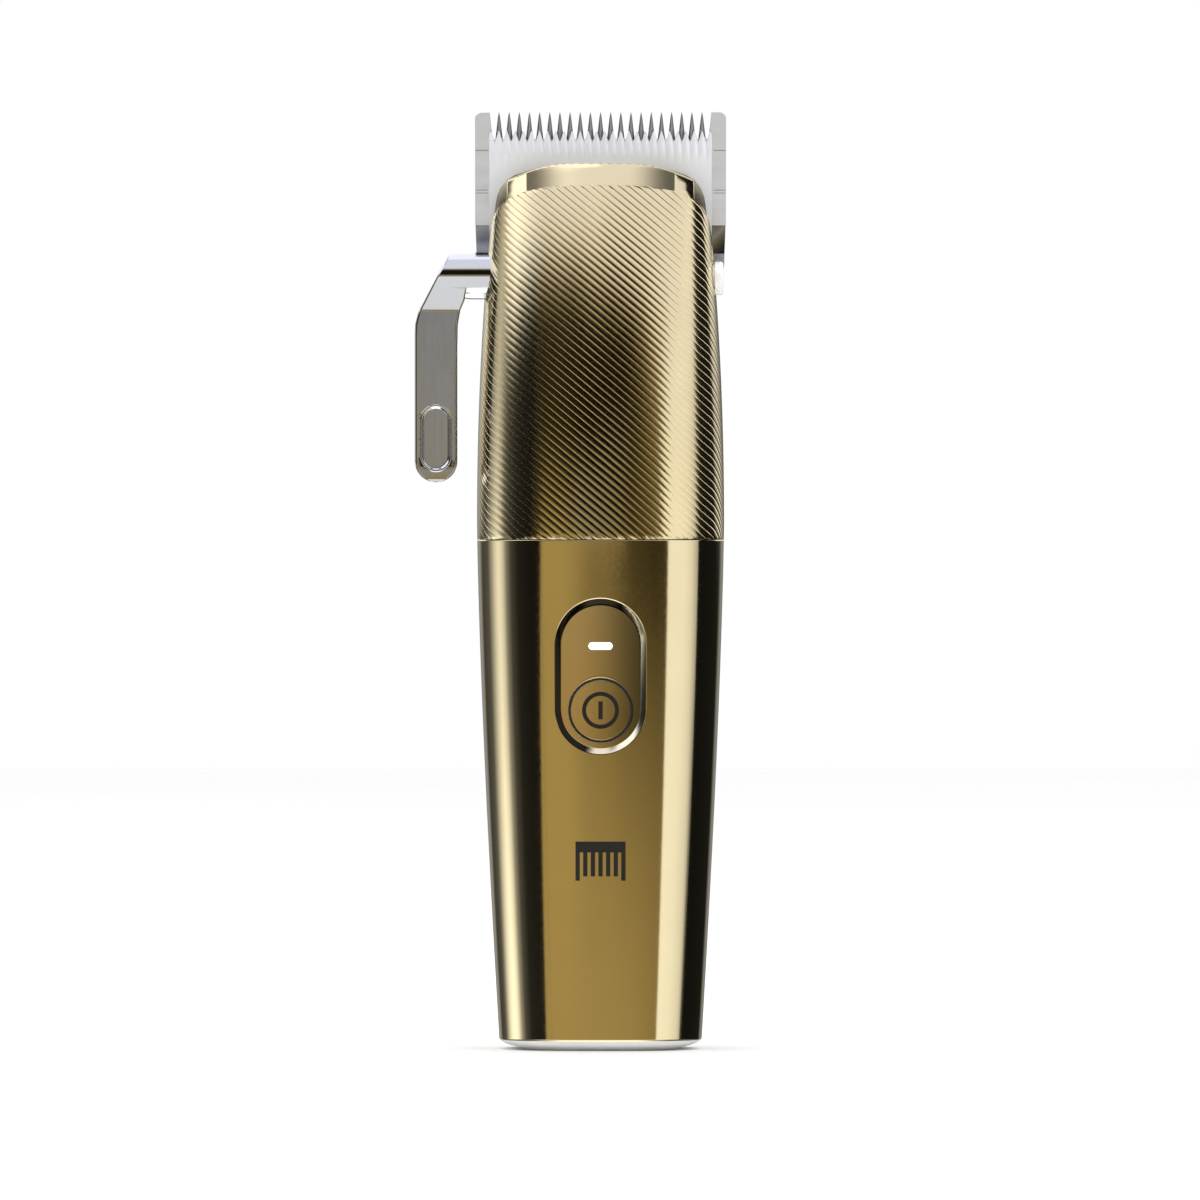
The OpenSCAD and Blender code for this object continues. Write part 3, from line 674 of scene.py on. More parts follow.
def make_sleeve():
    """The sleeve with its diagonal ridges cut as real geometry; rows of the mesh follow the ridges."""
    columns = SLEEVE_COLUMNS
    angles = even_angles(columns)
    travel, around = ridge_travel(angles)
    # Whole number of ridges round the body; the difference is taken up across the back
    count = round(around * BODY_W / 2 * RIDGE_SLOPE / RIDGE_RISE)
    full = count * RIDGE_RISE / RIDGE_SLOPE
    behind = np.clip(np.abs(travel) / (around / 2), 0, 1)
    take_up = np.sign(travel) * ease(np.clip((behind - 0.55) / 0.45, 0, 1)) / 2
    low, high = SEAM_Z, rim_z(angles)

    def phase(col, z):
        w = half_w(z)
        u = travel[col] * w + take_up[col] * (full - around * w)
        return (z + u * RIDGE_SLOPE) / RIDGE_RISE

    shares, depths = zip(*RIDGE_ROWS, (1, 0))

    def depth(value):
        return RIDGE_DEPTH * np.interp(value % 1.0, shares, depths)

    first = math.floor(min(phase(c, low) for c in range(columns))) - 1
    last = math.ceil(max(phase(c, high[c]) for c in range(columns))) + 1
    levels = np.array([k + s for k in range(first, last) for s, _ in RIDGE_ROWS])
    grid = []
    for c in range(columns):
        zs = np.linspace(low, high[c], 500)
        z = np.interp(levels, phase(c, zs), zs)
        inner = np.clip(z, low + 0.02, high[c] - 0.02)
        grid.append(on_body(angles[c], z, depth(phase(c, z)) + EDGE_INSET * (z != inner)))
    rows = len(levels)
    points = [p for column in grid for p in column]
    faces = []
    for c in range(columns):
        d = (c + 1) % columns
        # The last column meets the first one a whole number of ridges on
        shift = 0 if d else -count * len(RIDGE_ROWS)
        for r in range(max(0, -shift), rows - 1):
            q = r + shift
            heights = (grid[c][r][2], grid[c][r + 1][2], grid[d][q][2], grid[d][q + 1][2])
            if heights[1] - heights[0] < 1e-6 and heights[3] - heights[2] < 1e-6:
                continue
            faces.append((c * rows + r, d * rows + q, d * rows + q + 1, c * rows + r + 1))
    piece("ribbed_sleeve", (points, faces), knurl_gold, "housing", "gold_knurl", ("knurled_sleeve",), sharp=24,
          merge=0.004)
    # Smooth lining with its two flat ends
    foot = [on_body(angles, low + up, inset) for inset, up in ((LINING_INSET, 0.0), (WALL, 0.0), (WALL, 6.0))]
    piece("sleeve_foot", rings_mesh(foot), gold, "housing", "gold_knurl")
    lip = [np.concatenate([on_body(angles, high, inset)[:, :2], (high + up)[:, None]], axis=1)
           for inset, up in ((LINING_INSET, 0.0), (0.5, 0.04), (WALL, 0.0), (WALL + 0.1, -7.0))]
    piece("sleeve_lip", rings_mesh(lip), gold, "housing", "gold_knurl")


# -------- lower housing and its recess

RECESS_R = 8.55
RECESS_HALF = 5.9
RECESS_Z = (panel_low[2] + panel_high[2]) / 2
PANEL_Y = -18.0
BEVEL = 1.2
HOUSING_COLUMNS = 200
# Half width and half height of the part of the shell's grid that gives way to the recess
WINDOW_W = 13.2
WINDOW_H = 19.5


def oval_point(x, z, r):
    """Point of the oval of end radius r in the direction of x and z from its centre."""
    # Where the ray leaves the recess's oval: a side if it meets one, else an end arc
    if abs(x) > 1e-9:
        t = RECESS_R / abs(x)
        if abs(z * t) <= RECESS_HALF:
            return math.copysign(r, x), z * t
    a = x * x + z * z
    s = math.copysign(RECESS_HALF, z)
    b = -2 * z * s
    c = s * s - RECESS_R * RECESS_R
    t = (-b + math.sqrt(b * b - 4 * a * c)) / (2 * a)
    px, pz = x * t, z * t
    n = math.hypot(px, pz - s)
    return px / n * r, s + (pz - s) / n * r


def make_housing():
    columns = HOUSING_COLUMNS
    angles = even_angles(columns)
    top = housing_high[2]
    rows = [(0.16, FOOT_Z), (0.07, FOOT_Z + 0.05), (0.015, FOOT_Z + 0.16)]
    rows += [(0.0, z) for z in np.linspace(FOOT_Z + 0.35, top - 0.15, 104)] + [(0.0, top - 0.04), (0.03, top)]
    rows = [(WALL, FOOT_Z + 6), (WALL, FOOT_Z)] + rows + [(WALL, top), (WALL, top - 6)]
    grid = [on_body(angles, z, inset) for inset, z in rows]
    # Window of the grid that gives way to the recess
    xs = grid[60][:, 0]
    cols = [c for c in range(columns) if np.sin(angles[c]) < 0 and abs(xs[c]) < WINDOW_W]
    band = [r for r in range(4, len(grid) - 4) if abs(rows[r][1] - RECESS_Z) < WINDOW_H]
    c1, c2, r1, r2 = cols[0], cols[-1], band[0], band[-1]
    points, faces = rings_mesh(grid)
    kept = []
    for f in faces:
        r, c = divmod(f[0], columns)
        if not (r1 <= r < r2 and c1 <= c < c2):
            kept.append(f)
    edge = [(r1, c) for c in range(c1, c2)] + [(r, c2) for r in range(r1, r2)]
    edge += [(r2, c) for c in range(c2, c1, -1)] + [(r, c1) for r in range(r2, r1, -1)]
    loop = [r * columns + c for r, c in edge]
    outer = [points[i] for i in loop]
    oval = [oval_point(p[0], p[2] - RECESS_Z, RECESS_R) for p in outer]
    # Rings from the window in to the lip, evenly at first and closer near the lip
    for share in (0.2, 0.4, 0.6, 0.75, 0.87, 0.95, 1.0):
        ring = []
        for p, (ox, oz) in zip(outer, oval):
            x = p[0] + (ox - p[0]) * share
            z = p[2] + (oz + RECESS_Z - p[2]) * share
            ring.append((x, float(front_y(x, z)), z))
        points, kept, loop = add_ring(points, kept, loop, ring)
    # Rounded lip, then the bevelled wall down to the panel as its own piece
    wall_rings = []
    for d, share, drop in ((0.09, 0.012, 0), (0.18, 0.04, 0), (0.27, 0.09, 0), (1.1, 0.95, 0),
                           (1.15, 0.985, 0), (BEVEL, 1, 0.05), (BEVEL, 1, 1.6)):
        ring = []
        for p in outer:
            x, z = oval_point(p[0], p[2] - RECESS_Z, RECESS_R - d)
            z += RECESS_Z
            surface = float(front_y(x, z))
            ring.append((x, surface + (PANEL_Y - surface) * share + drop, z))
        if share < 0.05:
            points, kept, loop = add_ring(points, kept, loop, ring)
        if share > 0.03:
            wall_rings.append(ring)
    # The recess wall wears the gold with the painted highlight and painted shade
    piece("recess_wall", rings_mesh(wall_rings), recess_lit_and_shaded_gold, "housing", "gold_shell", sharp=50)
    shell = piece("housing_shell", (points, kept), gold, "housing", "gold_shell", ("lower_housing",), sharp=50)
    skin_normals(shell.data)


def add_ring(points, faces, loop, ring):
    """The mesh with one more ring joined to its open loop."""
    n = len(loop)
    new = [len(points) + i for i in range(n)]
    faces = faces + [(loop[i], loop[(i + 1) % n], new[(i + 1) % n], new[i]) for i in range(n)]
    return list(points) + list(ring), faces, new


# -------- control panel, button and light

BUTTON_Z = (button_low[2] + button_high[2]) / 2
BUTTON_R = 5.6
LED_Z = (pipe_low[2] + pipe_high[2]) / 2
PANEL_W = 14.64
PANEL_H = 26.64
# Radii of the button's well and of the button's edge
WELL_R = BUTTON_R + 0.34
EDGE_R = BUTTON_R - 0.07
SIGN_R1 = 2.65
SIGN_R2 = 3.4
SIGN_BAR = (0.4, 1.65)


def oval_ring(w, h, y, z0, count=96, x0=0.0):
    """Ring of an upright oval of width w and height h at depth y, with points along its straight sides too."""
    r = w / 2
    half = (h - w) / 2
    bend, side = count // 3, count // 6
    flat = arc(x0, z0 + half, r, 0, math.pi, bend, endpoint=False)
    flat += [(x0 - r, z0 + half - 2 * half * i / side) for i in range(side)]
    flat += arc(x0, z0 - half, r, math.pi, 2 * math.pi, bend, endpoint=False)
    flat += [(x0 + r, z0 - half + 2 * half * i / side) for i in range(side)]
    return [(x, y, z) for x, z in flat]


def round_ring(r, y):
    """Ring round the button's axis at depth y."""
    return [(x, y, z) for x, z in circle(0, BUTTON_Z, r, 72)]


def make_panel():
    """Panel face with its outer step, closing on the button's well through a bridge of rings."""
    z0 = RECESS_Z
    rings = [oval_ring(PANEL_W + grow, PANEL_H + grow, PANEL_Y + y, z0)
             for grow, y in ((1.4, 1.8), (1.4, 1.1), (0, 1.1), (0, 0.06), (-0.06, 0.015), (-0.2, 0))]
    edge = rings[-1]
    bearings = [math.atan2(z - BUTTON_Z, x) for x, _, z in edge]
    for share in (0.02, 0.25, 0.5, 0.75, 0.97, 1.0):
        ring = []
        for (x, y, z), a in zip(edge, bearings):
            tx, tz = (WELL_R + 0.08) * math.cos(a), BUTTON_Z + (WELL_R + 0.08) * math.sin(a)
            ring.append((x + (tx - x) * share, y, z + (tz - z) * share))
        rings.append(ring)
    for grow, y in ((0.04, 0.015), (0.0, 0.05), (0.0, 1.8)):
        rings.append([((WELL_R + grow) * math.cos(a), PANEL_Y + y, BUTTON_Z + (WELL_R + grow) * math.sin(a))
                      for a in bearings])
    keep_flats(piece("panel_face", rings_mesh(rings), panel_gold, "housing", "gold_panel", ("control_panel",),
                     sharp=50))


def make_button():
    # Dark rubber ring in the groove round the button, put there as painted shade to make the groove read black
    outer, inner = WELL_R + 0.06, EDGE_R + 0.02
    rings = [round_ring(r, PANEL_Y + y) for r, y in ((outer, 0.5), (outer, 0.35), (inner, 0.35), (inner, 0.5))]
    piece("groove_shade_ring", rings_mesh(rings), rubber, "housing", "black_rubber")
    # Stem, flange, eased edge and flat face
    skirt = BUTTON_R + 0.7
    profile = [(1.6, 5.0), (1.6, 2.6), (skirt, 2.6), (skirt, 1.95), (EDGE_R, 1.95), (EDGE_R, 0.02),
               (EDGE_R - 0.02, -0.05), (EDGE_R - 0.05, -0.087), (EDGE_R - 0.08, -0.1), (EDGE_R - 0.14, -0.1)]
    profile += [(r, -0.1) for r in (4.2, 3.0, 1.5, 0.3)]
    rings = [round_ring(r, PANEL_Y + y) for r, y in profile]
    keep_flats(piece("button_cap", rings_mesh(rings, cap_last=True), panel_gold, "button", "gold_trim",
                     ("power_button",), sharp=50))
    # Printed sign: a bar in a ring
    level = PANEL_Y - 0.13
    sign = ((SIGN_R1, 0.05), (SIGN_R1, 0), (SIGN_R2, 0), (SIGN_R2, 0.05))
    rings = [round_ring(r, level + y) for r, y in sign]
    piece("sign_ring", rings_mesh(rings), black_print, "button", "black_plastic")
    w, h = SIGN_BAR
    bar = rectangle(-w, w, BUTTON_Z - h, BUTTON_Z + h)
    piece("sign_bar", plate_mesh(bar, level, level + 0.06), black_print, "button", "black_plastic")


def make_light():
    """Status light: a lying pill that stands a hair proud."""
    w, h = pipe_high[0] - pipe_low[0], pipe_high[2] - pipe_low[2]
    rings = []
    for cut, y in ((0.09, 3.0), (0.09, -0.02), (0.14, -0.05), (0.24, -0.07), (0.5, -0.08)):
        upright = oval_ring(h - 2 * cut, w - 2 * cut, PANEL_Y + y, 0, 48)
        rings.append([(z, y, LED_Z + x) for x, y, z in upright])
    shape = rings_mesh(rings, cap_last=True)
    piece("light_window", shape, led_white, "housing", "led_window", ("light_pipe",), sharp=50)


SIGN_TEETH = 7
SIGN_HALF = 4.6
SIGN_SPINE = (36.6, 38.6)


def make_mark():
    """Plain printed comb sign low on the front: a spine with seven teeth, the outer two longer."""
    bars = [(-SIGN_HALF, SIGN_HALF, *SIGN_SPINE)]
    for i in range(SIGN_TEETH):
        x = -SIGN_HALF + 1.4 * i
        bars.append((x, x + 0.8, 31.4 if i in (0, SIGN_TEETH - 1) else 32.2, SIGN_SPINE[0]))
    points, faces = [], []
    cols, rows = 6, 5
    wide = cols + 1
    sheet = wide * (rows + 1)
    for x1, x2, z1, z2 in bars:
        start = len(points)
        for lift in (0.025, -0.05):
            for r in range(rows + 1):
                for c in range(wide):
                    x, z = x1 + (x2 - x1) * c / cols, z1 + (z2 - z1) * r / rows
                    points.append((x, float(front_y(x, z)) - lift, z))
        for r in range(rows):
            for c in range(cols):
                a = start + r * wide + c
                quad = (a, a + 1, a + wide + 1, a + wide)
                faces += [quad, tuple(k + sheet for k in reversed(quad))]
        rim = list(range(wide)) + [r * wide + cols for r in range(1, rows + 1)]
        rim += [rows * wide + c for c in range(cols - 1, -1, -1)] + [r * wide for r in range(rows - 1, 0, -1)]
        for a, b in zip(rim, rim[1:] + rim[:1]):
            a, b = start + a, start + b
            faces.append((a, a + sheet, b + sheet, b))
    piece("comb_sign", (points, faces), black_print, "housing", "black_plastic", merge=0.0005)


# -------- hood of the nose

HOOD_W = 17.3
HOOD_FACET = 13.9
HOOD_TOP = 163.6
HOOD_Y = -10.2
# The face stands upright to the crease and leans back above it
HOOD_CREASE = 157.3
HOOD_LEAN = math.tan(math.radians(38))
# Rows of the hood: height and how far the face is cut back there
HOOD_ROWS = [(z, 0.0) for z in (149.2, 153.0, 156.5, HOOD_CREASE, 158.0, 159.0, 160.2, 161.5, 162.6)]
HOOD_ROWS += [(163.05, 0.05), (163.3, 0.15), (163.47, 0.32), (163.57, 0.55), (HOOD_TOP, 0.85)]


def hood_plan():
    """Plan of the hood as (x, depth behind the front centre), from the left back corner round to the right."""
    pts = [(-HOOD_W, 16.0), (-HOOD_W, 10.0), (-HOOD_W, 6.0), (-HOOD_W, 5.15), (-HOOD_W + 0.06, 4.85),
           (-HOOD_W + 0.25, 4.52)]
    pts += [(-15.6, 3.35), (-HOOD_FACET - 0.3, 2.15), (-HOOD_FACET + 0.02, 1.93)]
    pts += [(x, 1.9 * (x / HOOD_FACET) ** 2) for x in np.linspace(-HOOD_FACET + 0.3, 0, 16)]
    return pts + [(-x, d) for x, d in reversed(pts[:-1])]


def arch_drop(x):
    """Fall of the hood's crown towards its sides."""
    return 2.7 * np.clip((abs(x) - 6.0) / (HOOD_W - 6.0), 0, 1) ** 1.7


def make_hood():
    plan = hood_plan()
    rings = []
    for z0, cut in HOOD_ROWS:
        ring = []
        for x, d in plan:
            z = z0 - arch_drop(x) * np.clip((z0 - 150) / (HOOD_TOP - 150), 0, 1)
            back_y = 2.6 + (HOOD_TOP - z0) * 0.18
            y = HOOD_Y + d + max(0.0, z - HOOD_CREASE) * HOOD_LEAN + cut * (1.0 if d < 6 else 0.0)
            if d > 15:
                y = back_y
            elif d > 5.5:
                y = min(y, back_y - (16 - d) * 0.3)
            x = math.copysign(max(0.0, abs(x) - cut * min(1.0, abs(x) / HOOD_FACET) ** 6), x)
            ring.append((x, min(y, back_y), z))
        rings.append(ring)
    shape = rings_mesh(rings, closed=False, cap_last=True)
    hood = piece("nose_hood", shape, gold, "housing", "gold_trim", ("nose_bezel",), sharp=28)
    wall = hood.modifiers.new("wall", "SOLIDIFY")
    wall.thickness = 1.0 * MM
    wall.offset = -1


# -------- domed bottom cap

# Rows of the dome: share of the base's outline and height
CAP_ROWS = [(0.02, 0), (0.2, 0), (0.4, 0), (0.55, 0), (0.62, 0), (0.66, 0.02), (0.7, 0.07), (0.76, 0.21),
            (0.81, 0.4), (0.86, 0.62), (0.9, 0.82), (0.94, 1.1), (0.965, 1.33), (0.983, 1.56), (0.99, 1.75),
            (0.99, 1.82), (0.925, 1.82), (0.915, 4.7)]
SOCKET_W = 8.94
SOCKET_Y = 6.5
SOCKET_R = 1.7
SOCKET_DEPTH = 8.0
SCREW_X = 8.2
SCREW_Y = -4
SCREW_R = 2.3
SCREW_DEPTH = 2.2


def make_bottom_cap():
    base = on_body(even_angles(160), FOOT_Z)
    rings = [[(p[0] * s, p[1] * s, z) for p in base] for s, z in CAP_ROWS]
    cap = piece("base_cap", rings_mesh(rings, cap_first=True), pale_plastic, "housing", "pale_plastic",
                ("bottom_cap",), sharp=40)
    # Mouth of the charging socket and the two screw wells
    w = SOCKET_W / 2 - 1.6
    mouth = [(math.copysign(w, x) + x, SOCKET_Y + y)
             for x, y in arc(0, 0, SOCKET_R, 0.01, 2 * math.pi + 0.01, 48, endpoint=False)]
    cuts = [(mouth, SOCKET_DEPTH)] + [(circle(s * SCREW_X, SCREW_Y, SCREW_R, 40), SCREW_DEPTH) for s in SIDES]
    for outline, depth in cuts:
        cut_away(cap, [solid_mesh([[(x, y, z) for x, y in outline] for z in (-1.0, depth)])])
    cap.data.set_sharp_from_angle(angle=math.radians(40))


# -------- blades

TEETH = 21
PITCH = 1.88
FIRST_TOOTH = -(TEETH - 1) / 2 * PITCH
COMB_T = 2.2
COMB_H = 21.2
CORNER_R = 1.3
END_BAR = 2.7
ROOT = 5.1
BLADE_SCREW = (13, -18.6)
CUTTER_T = 1.8
CUT_TEETH = 28
CUT_PITCH = 1.507
FIRST_CUT = -(CUT_TEETH - 1) / 2 * CUT_PITCH


def thinned(z):
    """Thickness of the comb at z: the skin side thins to the tips."""
    return COMB_T - max(0.0, z + 8) * 0.176


def comb_outline():
    """Outline of the comb: two end bars and the edge at the teeth's roots between them."""
    half = (comb_high[0] - comb_low[0]) / 2
    inner = FIRST_TOOTH - 0.11
    side_x = (half - END_BAR - inner) / 2
    side_w = (half - END_BAR + inner) / 2
    pts = [(-half, -COMB_H)] + arc(-half + CORNER_R, -CORNER_R, CORNER_R, math.pi, math.pi / 2, 8)
    pts += [(-side_x - side_w, 0.0), (-side_x - 0.3, -ROOT), (side_x + 0.3, -ROOT), (side_x + side_w, 0.0)]
    return pts + arc(half - CORNER_R, -CORNER_R, CORNER_R, math.pi / 2, 0, 8) + [(half, -COMB_H)]


def make_teeth():
    """Comb teeth: tapered, with a rounded face towards the cutter."""
    points, faces = [], []
    across = [math.sin(math.radians(a)) for a in range(-90, 91, 18)]
    for i in range(TEETH):
        x0 = FIRST_TOOTH + i * PITCH
        rings = []
        for z in (-5.4, -4.9, -3.9, -2.9, -1.9, -0.9, -0.35, -0.08, 0.0):
            crown = 1.0 if z < -0.4 else 0.8 if z < -0.1 else 0.5 if z < 0 else 0.2
            w = (0.665 - max(0.0, z + 4.9) * 0.1135) * crown
            ring = [(x0 + w * u, 0.55 * w * u * u, z) for u in across]
            ring += [(x0 + w * u * 0.8, thinned(z) - 0.12 * u * u, z) for u in reversed(across)]
            rings.append(ring)
        start = len(points)
        pts, fcs = solid_mesh(rings)
        points += pts
        faces += [tuple(start + k for k in f) for f in fcs]
    shape = from_blade((points, faces))
    piece("comb_teeth", shape, tooth_steel, "comb", "blade_steel", sharp=50, merge=0.0005)


def make_comb():
    make_teeth()
    pts, fcs = plate_mesh(comb_outline(), 0.0, COMB_T)
    thin = [(x, y if y < 0.1 else min(y, thinned(z)), z) for x, y, z in pts]
    comb = piece("comb_plate", from_blade((thin, fcs)), blade_steel, "comb", "blade_steel", ("comb_blade",))
    cuts = []
    for s in SIDES:
        # Fine grooves across the end bars
        x1, x2 = sorted((s * 20.9, s * 30))
        for z, w in ((-7.11, 0.16), (-14.6, 0.13), (-15.15, 0.13)):
            cuts.append(plate_mesh(rectangle(x1, x2, z, z + w), -1.0, 0.3))
        # Countersunk screw hole
        rings = []
        for r, y in ((1.3, -0.6), (1.3, COMB_T - 1.1), (2.6, COMB_T + 0.05)):
            rings.append([(x, y, z) for x, z in circle(s * BLADE_SCREW[0], BLADE_SCREW[1], r, 40)])
        cuts.append(solid_mesh(rings))
    cut_away(comb, [from_blade(cut) for cut in cuts])
    shade(comb, 35)
    add_bevel(comb, 0.09)


def cut_offset(x):
    """Distance of x from the middle of the nearest cutter tooth."""
    return abs((x - FIRST_CUT + CUT_PITCH / 2) % CUT_PITCH - CUT_PITCH / 2)


def cutter_top(x):
    """Top edge of the cutter at x: teeth with pointed tips and round valleys."""
    off = cut_offset(x)
    tip, root, flat, valley = 3.42, 5.25, 0.085, 0.12
    if off < flat:
        return -tip
    share = (off - flat) / (CUT_PITCH / 2 - flat - valley)
    if share < 1.0:
        return -tip - (root - tip - 0.08) * share
    near = (off - (CUT_PITCH / 2 - valley)) / valley
    return -root + 0.08 * (1 - near) ** 2


LEG_X = 20.1
ARCH = [(0, -9.44), (7.5, -9.44), (10.8, -9.85), (14.1, -10.75), (16.0, -11.5), (17.3, -12.2), (18.6, -13.9),
        (19.2, -15.4), (19.5, -17.2), (19.9, -20.5), (LEG_X, -24.4)]


def arch_bottom(x):
    """Lower edge of the cutter at x: its arch, or its full height in the legs."""
    if abs(x) >= LEG_X:
        return -24.5
    return float(np.interp(abs(x), *zip(*ARCH)))


def make_cutter():
    """Front face of the cutter as one relief: teeth, the hollows ground below them, and the plain plate."""
    half = 20.6
    spots = {-half, half, 17.9, 18.2, -17.9, -18.2} | {s * p[0] for p in ARCH for s in SIDES}
    for i in range(-1, CUT_TEETH + 1):
        for d in (-0.62, -0.5, -0.36, -0.22, -0.085, 0.0, 0.085, 0.22, 0.36, 0.5, 0.62, 0.69, CUT_PITCH / 2):
            spots.add(round(FIRST_CUT + i * CUT_PITCH + d, 4))
    xs = sorted(x for x in spots if -half <= x <= half)
    shares = [0, 0.04, 0.1, 0.18, 0.28, 0.4, 0.52, 0.64, 0.76, 0.88, 0.96, 1.0]
    # Rows stay in the toothed band to this share, so that the relief is even across the arch
    band, band_share = -10.2, 0.76
    front_rows, back_rows = [], []
    for share in shares:
        row = []
        for x in xs:
            top, low = cutter_top(x), arch_bottom(x)
            if low >= band:
                z = top + (low - top) * share
            elif share <= band_share:
                z = top + (band - top) * share / band_share
            else:
                z = band + (low - band) * (share - band_share) / (1 - band_share)
            hollow = max(0.0, min(1.0, (z + 8.9) / 3.6))
            flute = 0.55 * hollow * (cut_offset(x) / (CUT_PITCH / 2)) ** 2
            thin = 0.75 * max(0.0, min(1.0, (z + 7.0) / 3.6))
            row.append((x, min(-0.05 - CUTTER_T + flute + thin, -0.3), z))
        front_rows.append(row)
        back_rows.append([(x, -0.05, z) for x, _, z in row])
    n = len(xs)
    sheet = front_rows + back_rows[::-1]
    pts, fcs = rings_mesh(sheet + sheet[:1], closed=False)
    m = len(sheet)
    fcs = [tuple(k % (n * m) for k in f) for f in fcs]
    for j in (0, n - 1):
        rows = [i * n + j for i in range(m)]
        fcs += [(rows[i], rows[i + 1], rows[m - 2 - i], rows[m - 1 - i]) for i in range(len(shares) - 1)]
    shape = from_blade((pts[:n * m], fcs))
    piece("cutter_plate", shape, cutter_white, "cutter", "cutter_white", ("cutter_blade",), sharp=30)
    # Tongue behind the hood that carries the follower
    tongue = plate_mesh(rectangle(-8, 8, -15.5, -9.3), -1.83, -0.06)
    piece("cutter_tongue", from_blade(tongue), blade_steel, "cutter", "cutter_white", bevel=0.1)


# -------- taper lever

LEVER_Y = -2.5
LEVER_Z = 142.7
HUB_R = 4.5
ARM_X1 = -34.3
ARM_X2 = -26.45
ARM_R = (ARM_X2 - ARM_X1) / 2
ARM_LOW = box_mm("taper_lever")[0][2]
# The flat of the arm lies this far before the axis, up to the crease; the step is where the arm meets the hub
FACE_D = 3.15
CREASE_Z = 136.5
STEP_Z = 140.55
JOINT_X = -17.0
DIMPLE_W = 4.95
DIMPLE_H = 11.55
DIMPLE_Z = 112.8


def smooth_step(v, low, high):
    return ease(np.clip((v - low) / (high - low), 0, 1))


def arm_edges(z):
    """Left and right edge of the arm at height z."""
    if z < ARM_LOW + ARM_R:
        w = math.sqrt(max(0.0, ARM_R ** 2 - (ARM_LOW + ARM_R - z) ** 2))
        return ARM_X1 + ARM_R - w, ARM_X1 + ARM_R + w
    left = np.interp(z, [132, 134, 136, 145.9, 146.9, 147.2], [ARM_X1, -34.2, -33.7, -28.5, -28.1, -27.7])
    right = np.interp(z, [130, 134, 136.5, 138.4, STEP_Z, STEP_Z + 0.05],
                      [ARM_X2, ARM_X2 + 0.1, -25.9, -25.1, -24.7, JOINT_X])
    return left, right


def arm_ring(z):
    """Section of the arm at height z, its corners rounded."""
    left, right = arm_edges(z)
    # Round at the hub, then a face that falls back to the flat of the arm
    round_d = HUB_R * math.sqrt(max(0.0, 1 - ((z - LEVER_Z) / HUB_R) ** 2))
    fall = np.clip((z - CREASE_Z) / (LEVER_Z - CREASE_Z), 0, 1)
    y1 = LEVER_Y - (round_d if z >= LEVER_Z else FACE_D + (HUB_R - FACE_D) * (0.8 * fall + 0.2 * fall ** 3))
    y2 = LEVER_Y + (round_d if z > 141.5 else max(0.5, round_d * float(smooth_step(z, 135.5, 141.5))))
    r = min(0.45, (right - left) * 0.35, (y2 - y1) * 0.35)
    r_in = r * (1 - float(smooth_step(z, STEP_Z - 0.3, STEP_Z)))
    ring = []
    for i, (x, y, rad) in enumerate(((right - r_in, y1 + r_in, r_in), (right - r_in, y2 - r_in, r_in),
                                     (left + r, y2 - r, r), (left + r, y1 + r, r))):
        ring += arc(x, y, rad, math.pi / 2 * (i - 1), math.pi / 2 * i, 5)
    return [(x, y, z) for x, y in ring]


def dimple_ring(grow, y, count):
    """Oval round the thumb dimple, wider than it by grow on each side, at depth y from the arm's flat."""
    w, h = DIMPLE_W + 2 * grow, DIMPLE_H + 2 * grow
    return oval_ring(w, h, LEVER_Y - FACE_D + y, DIMPLE_Z, count, ARM_X1 + ARM_R)


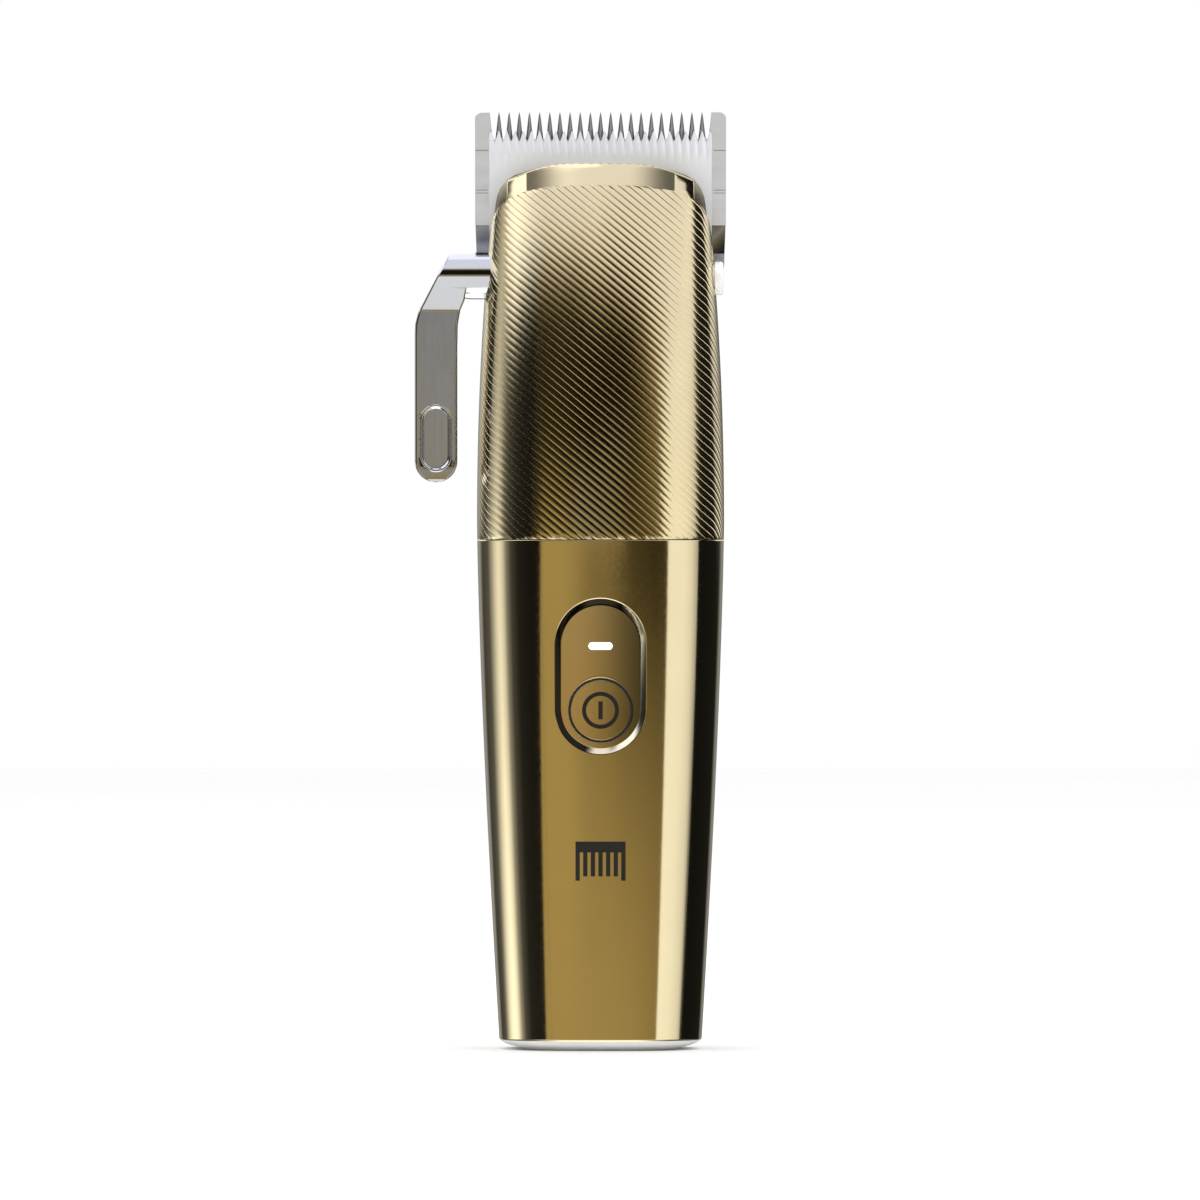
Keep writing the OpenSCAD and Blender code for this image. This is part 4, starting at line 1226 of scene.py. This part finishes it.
def make_lever():
    """Arm lofted down from the hub: rounded-edge sections between its outer and inner edge."""
    low = ARM_LOW + ARM_R
    heights = [LEVER_Z + HUB_R * math.sin(a) for a in np.linspace(math.pi / 2 - 0.02, 0, 18)]
    heights += [142.4, 142, 141.5, 141, STEP_Z + 0.1, STEP_Z] + list(np.linspace(140.3, CREASE_Z + 0.2, 14))
    heights += [CREASE_Z + 0.05, CREASE_Z - 0.05] + list(np.linspace(CREASE_Z - 0.5, low, 40))
    heights += [low - ARM_R * math.sin(a) for a in np.linspace(0.05, math.pi / 2 - 0.03, 22)]
    arm = piece("lever_arm", solid_mesh([arm_ring(z) for z in heights]), lever_chrome, "lever", "lever_chrome",
                ("taper_lever",), sharp=40, merge=0.001)
    # Thumb dimple with a raised rim
    hollow = ((1.025, -3.0), (0.125, -0.02), (-0.025, 0.04), (-0.175, 0.22), (-0.275, 0.27), (-0.325, 0.28),
              (-0.425, 0.28))
    cut_away(arm, [solid_mesh([dimple_ring(grow, y, 64) for grow, y in hollow])])
    shade(arm, 35)
    keep_flats(arm)
    rim = [dimple_ring(grow, y, 80) for grow, y in
           ((-0.04, 0.05), (0.02, -0.05), (0.14, -0.11), (0.3, -0.12), (0.44, -0.08), (0.5, 0.05))]
    piece("dimple_rim", rings_mesh(rim), lever_chrome, "lever", "lever_chrome", sharp=60)
    profile = ((-26.0, 3.8), (-25.0, 4.05), (-24.4, 4.17), (-23.0, 4.2), (-16.5, 4.2), (-16.4, 4.1))
    hub = [[(x, y, z) for y, z in circle(LEVER_Y, LEVER_Z, r, 96)] for x, r in profile]
    piece("lever_hub", solid_mesh(hub), lever_chrome, "lever", "lever_chrome", sharp=40)


def make_pivot_cap():
    """Rounded button over the far end of the lever's axis."""
    z0 = (pivot_low[2] + pivot_high[2]) / 2
    top = pivot_high[0]
    profile = [(2.6, 19.6), (2.6, 21.1), (3.1, 21.15), (3.1, top - 0.62)]
    profile += arc(2.5, top - 0.6, 0.6, 0.2, math.pi / 2, 8)
    profile += [(1.6, top + 0.02), (0.6, top + 0.03), (0.1, top + 0.03)]
    rings = [[(x, y, z) for y, z in circle(LEVER_Y, z0, r, 64)] for r, x in profile]
    shape = rings_mesh(rings, cap_last=True)
    piece("axis_cap", shape, cap_silver, "housing", "cap_silver", ("pivot_cap",), sharp=50)


# -------- build

make_camera()
make_floor()
make_world()
make_lamp()
bpy.context.scene.view_settings.view_transform = "Standard"
for mat, nodes in CAD_MATERIALS:
    for node in nodes:
        paint(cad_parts[node], mat)
make_sleeve()
make_housing()
make_panel()
make_button()
make_light()
make_mark()
make_hood()
make_bottom_cap()
make_comb()
make_cutter()
make_lever()
make_pivot_cap()
soften("blade_carrier", "carrier_plate", carrier_chrome, "comb", "carrier_chrome", 0.25)
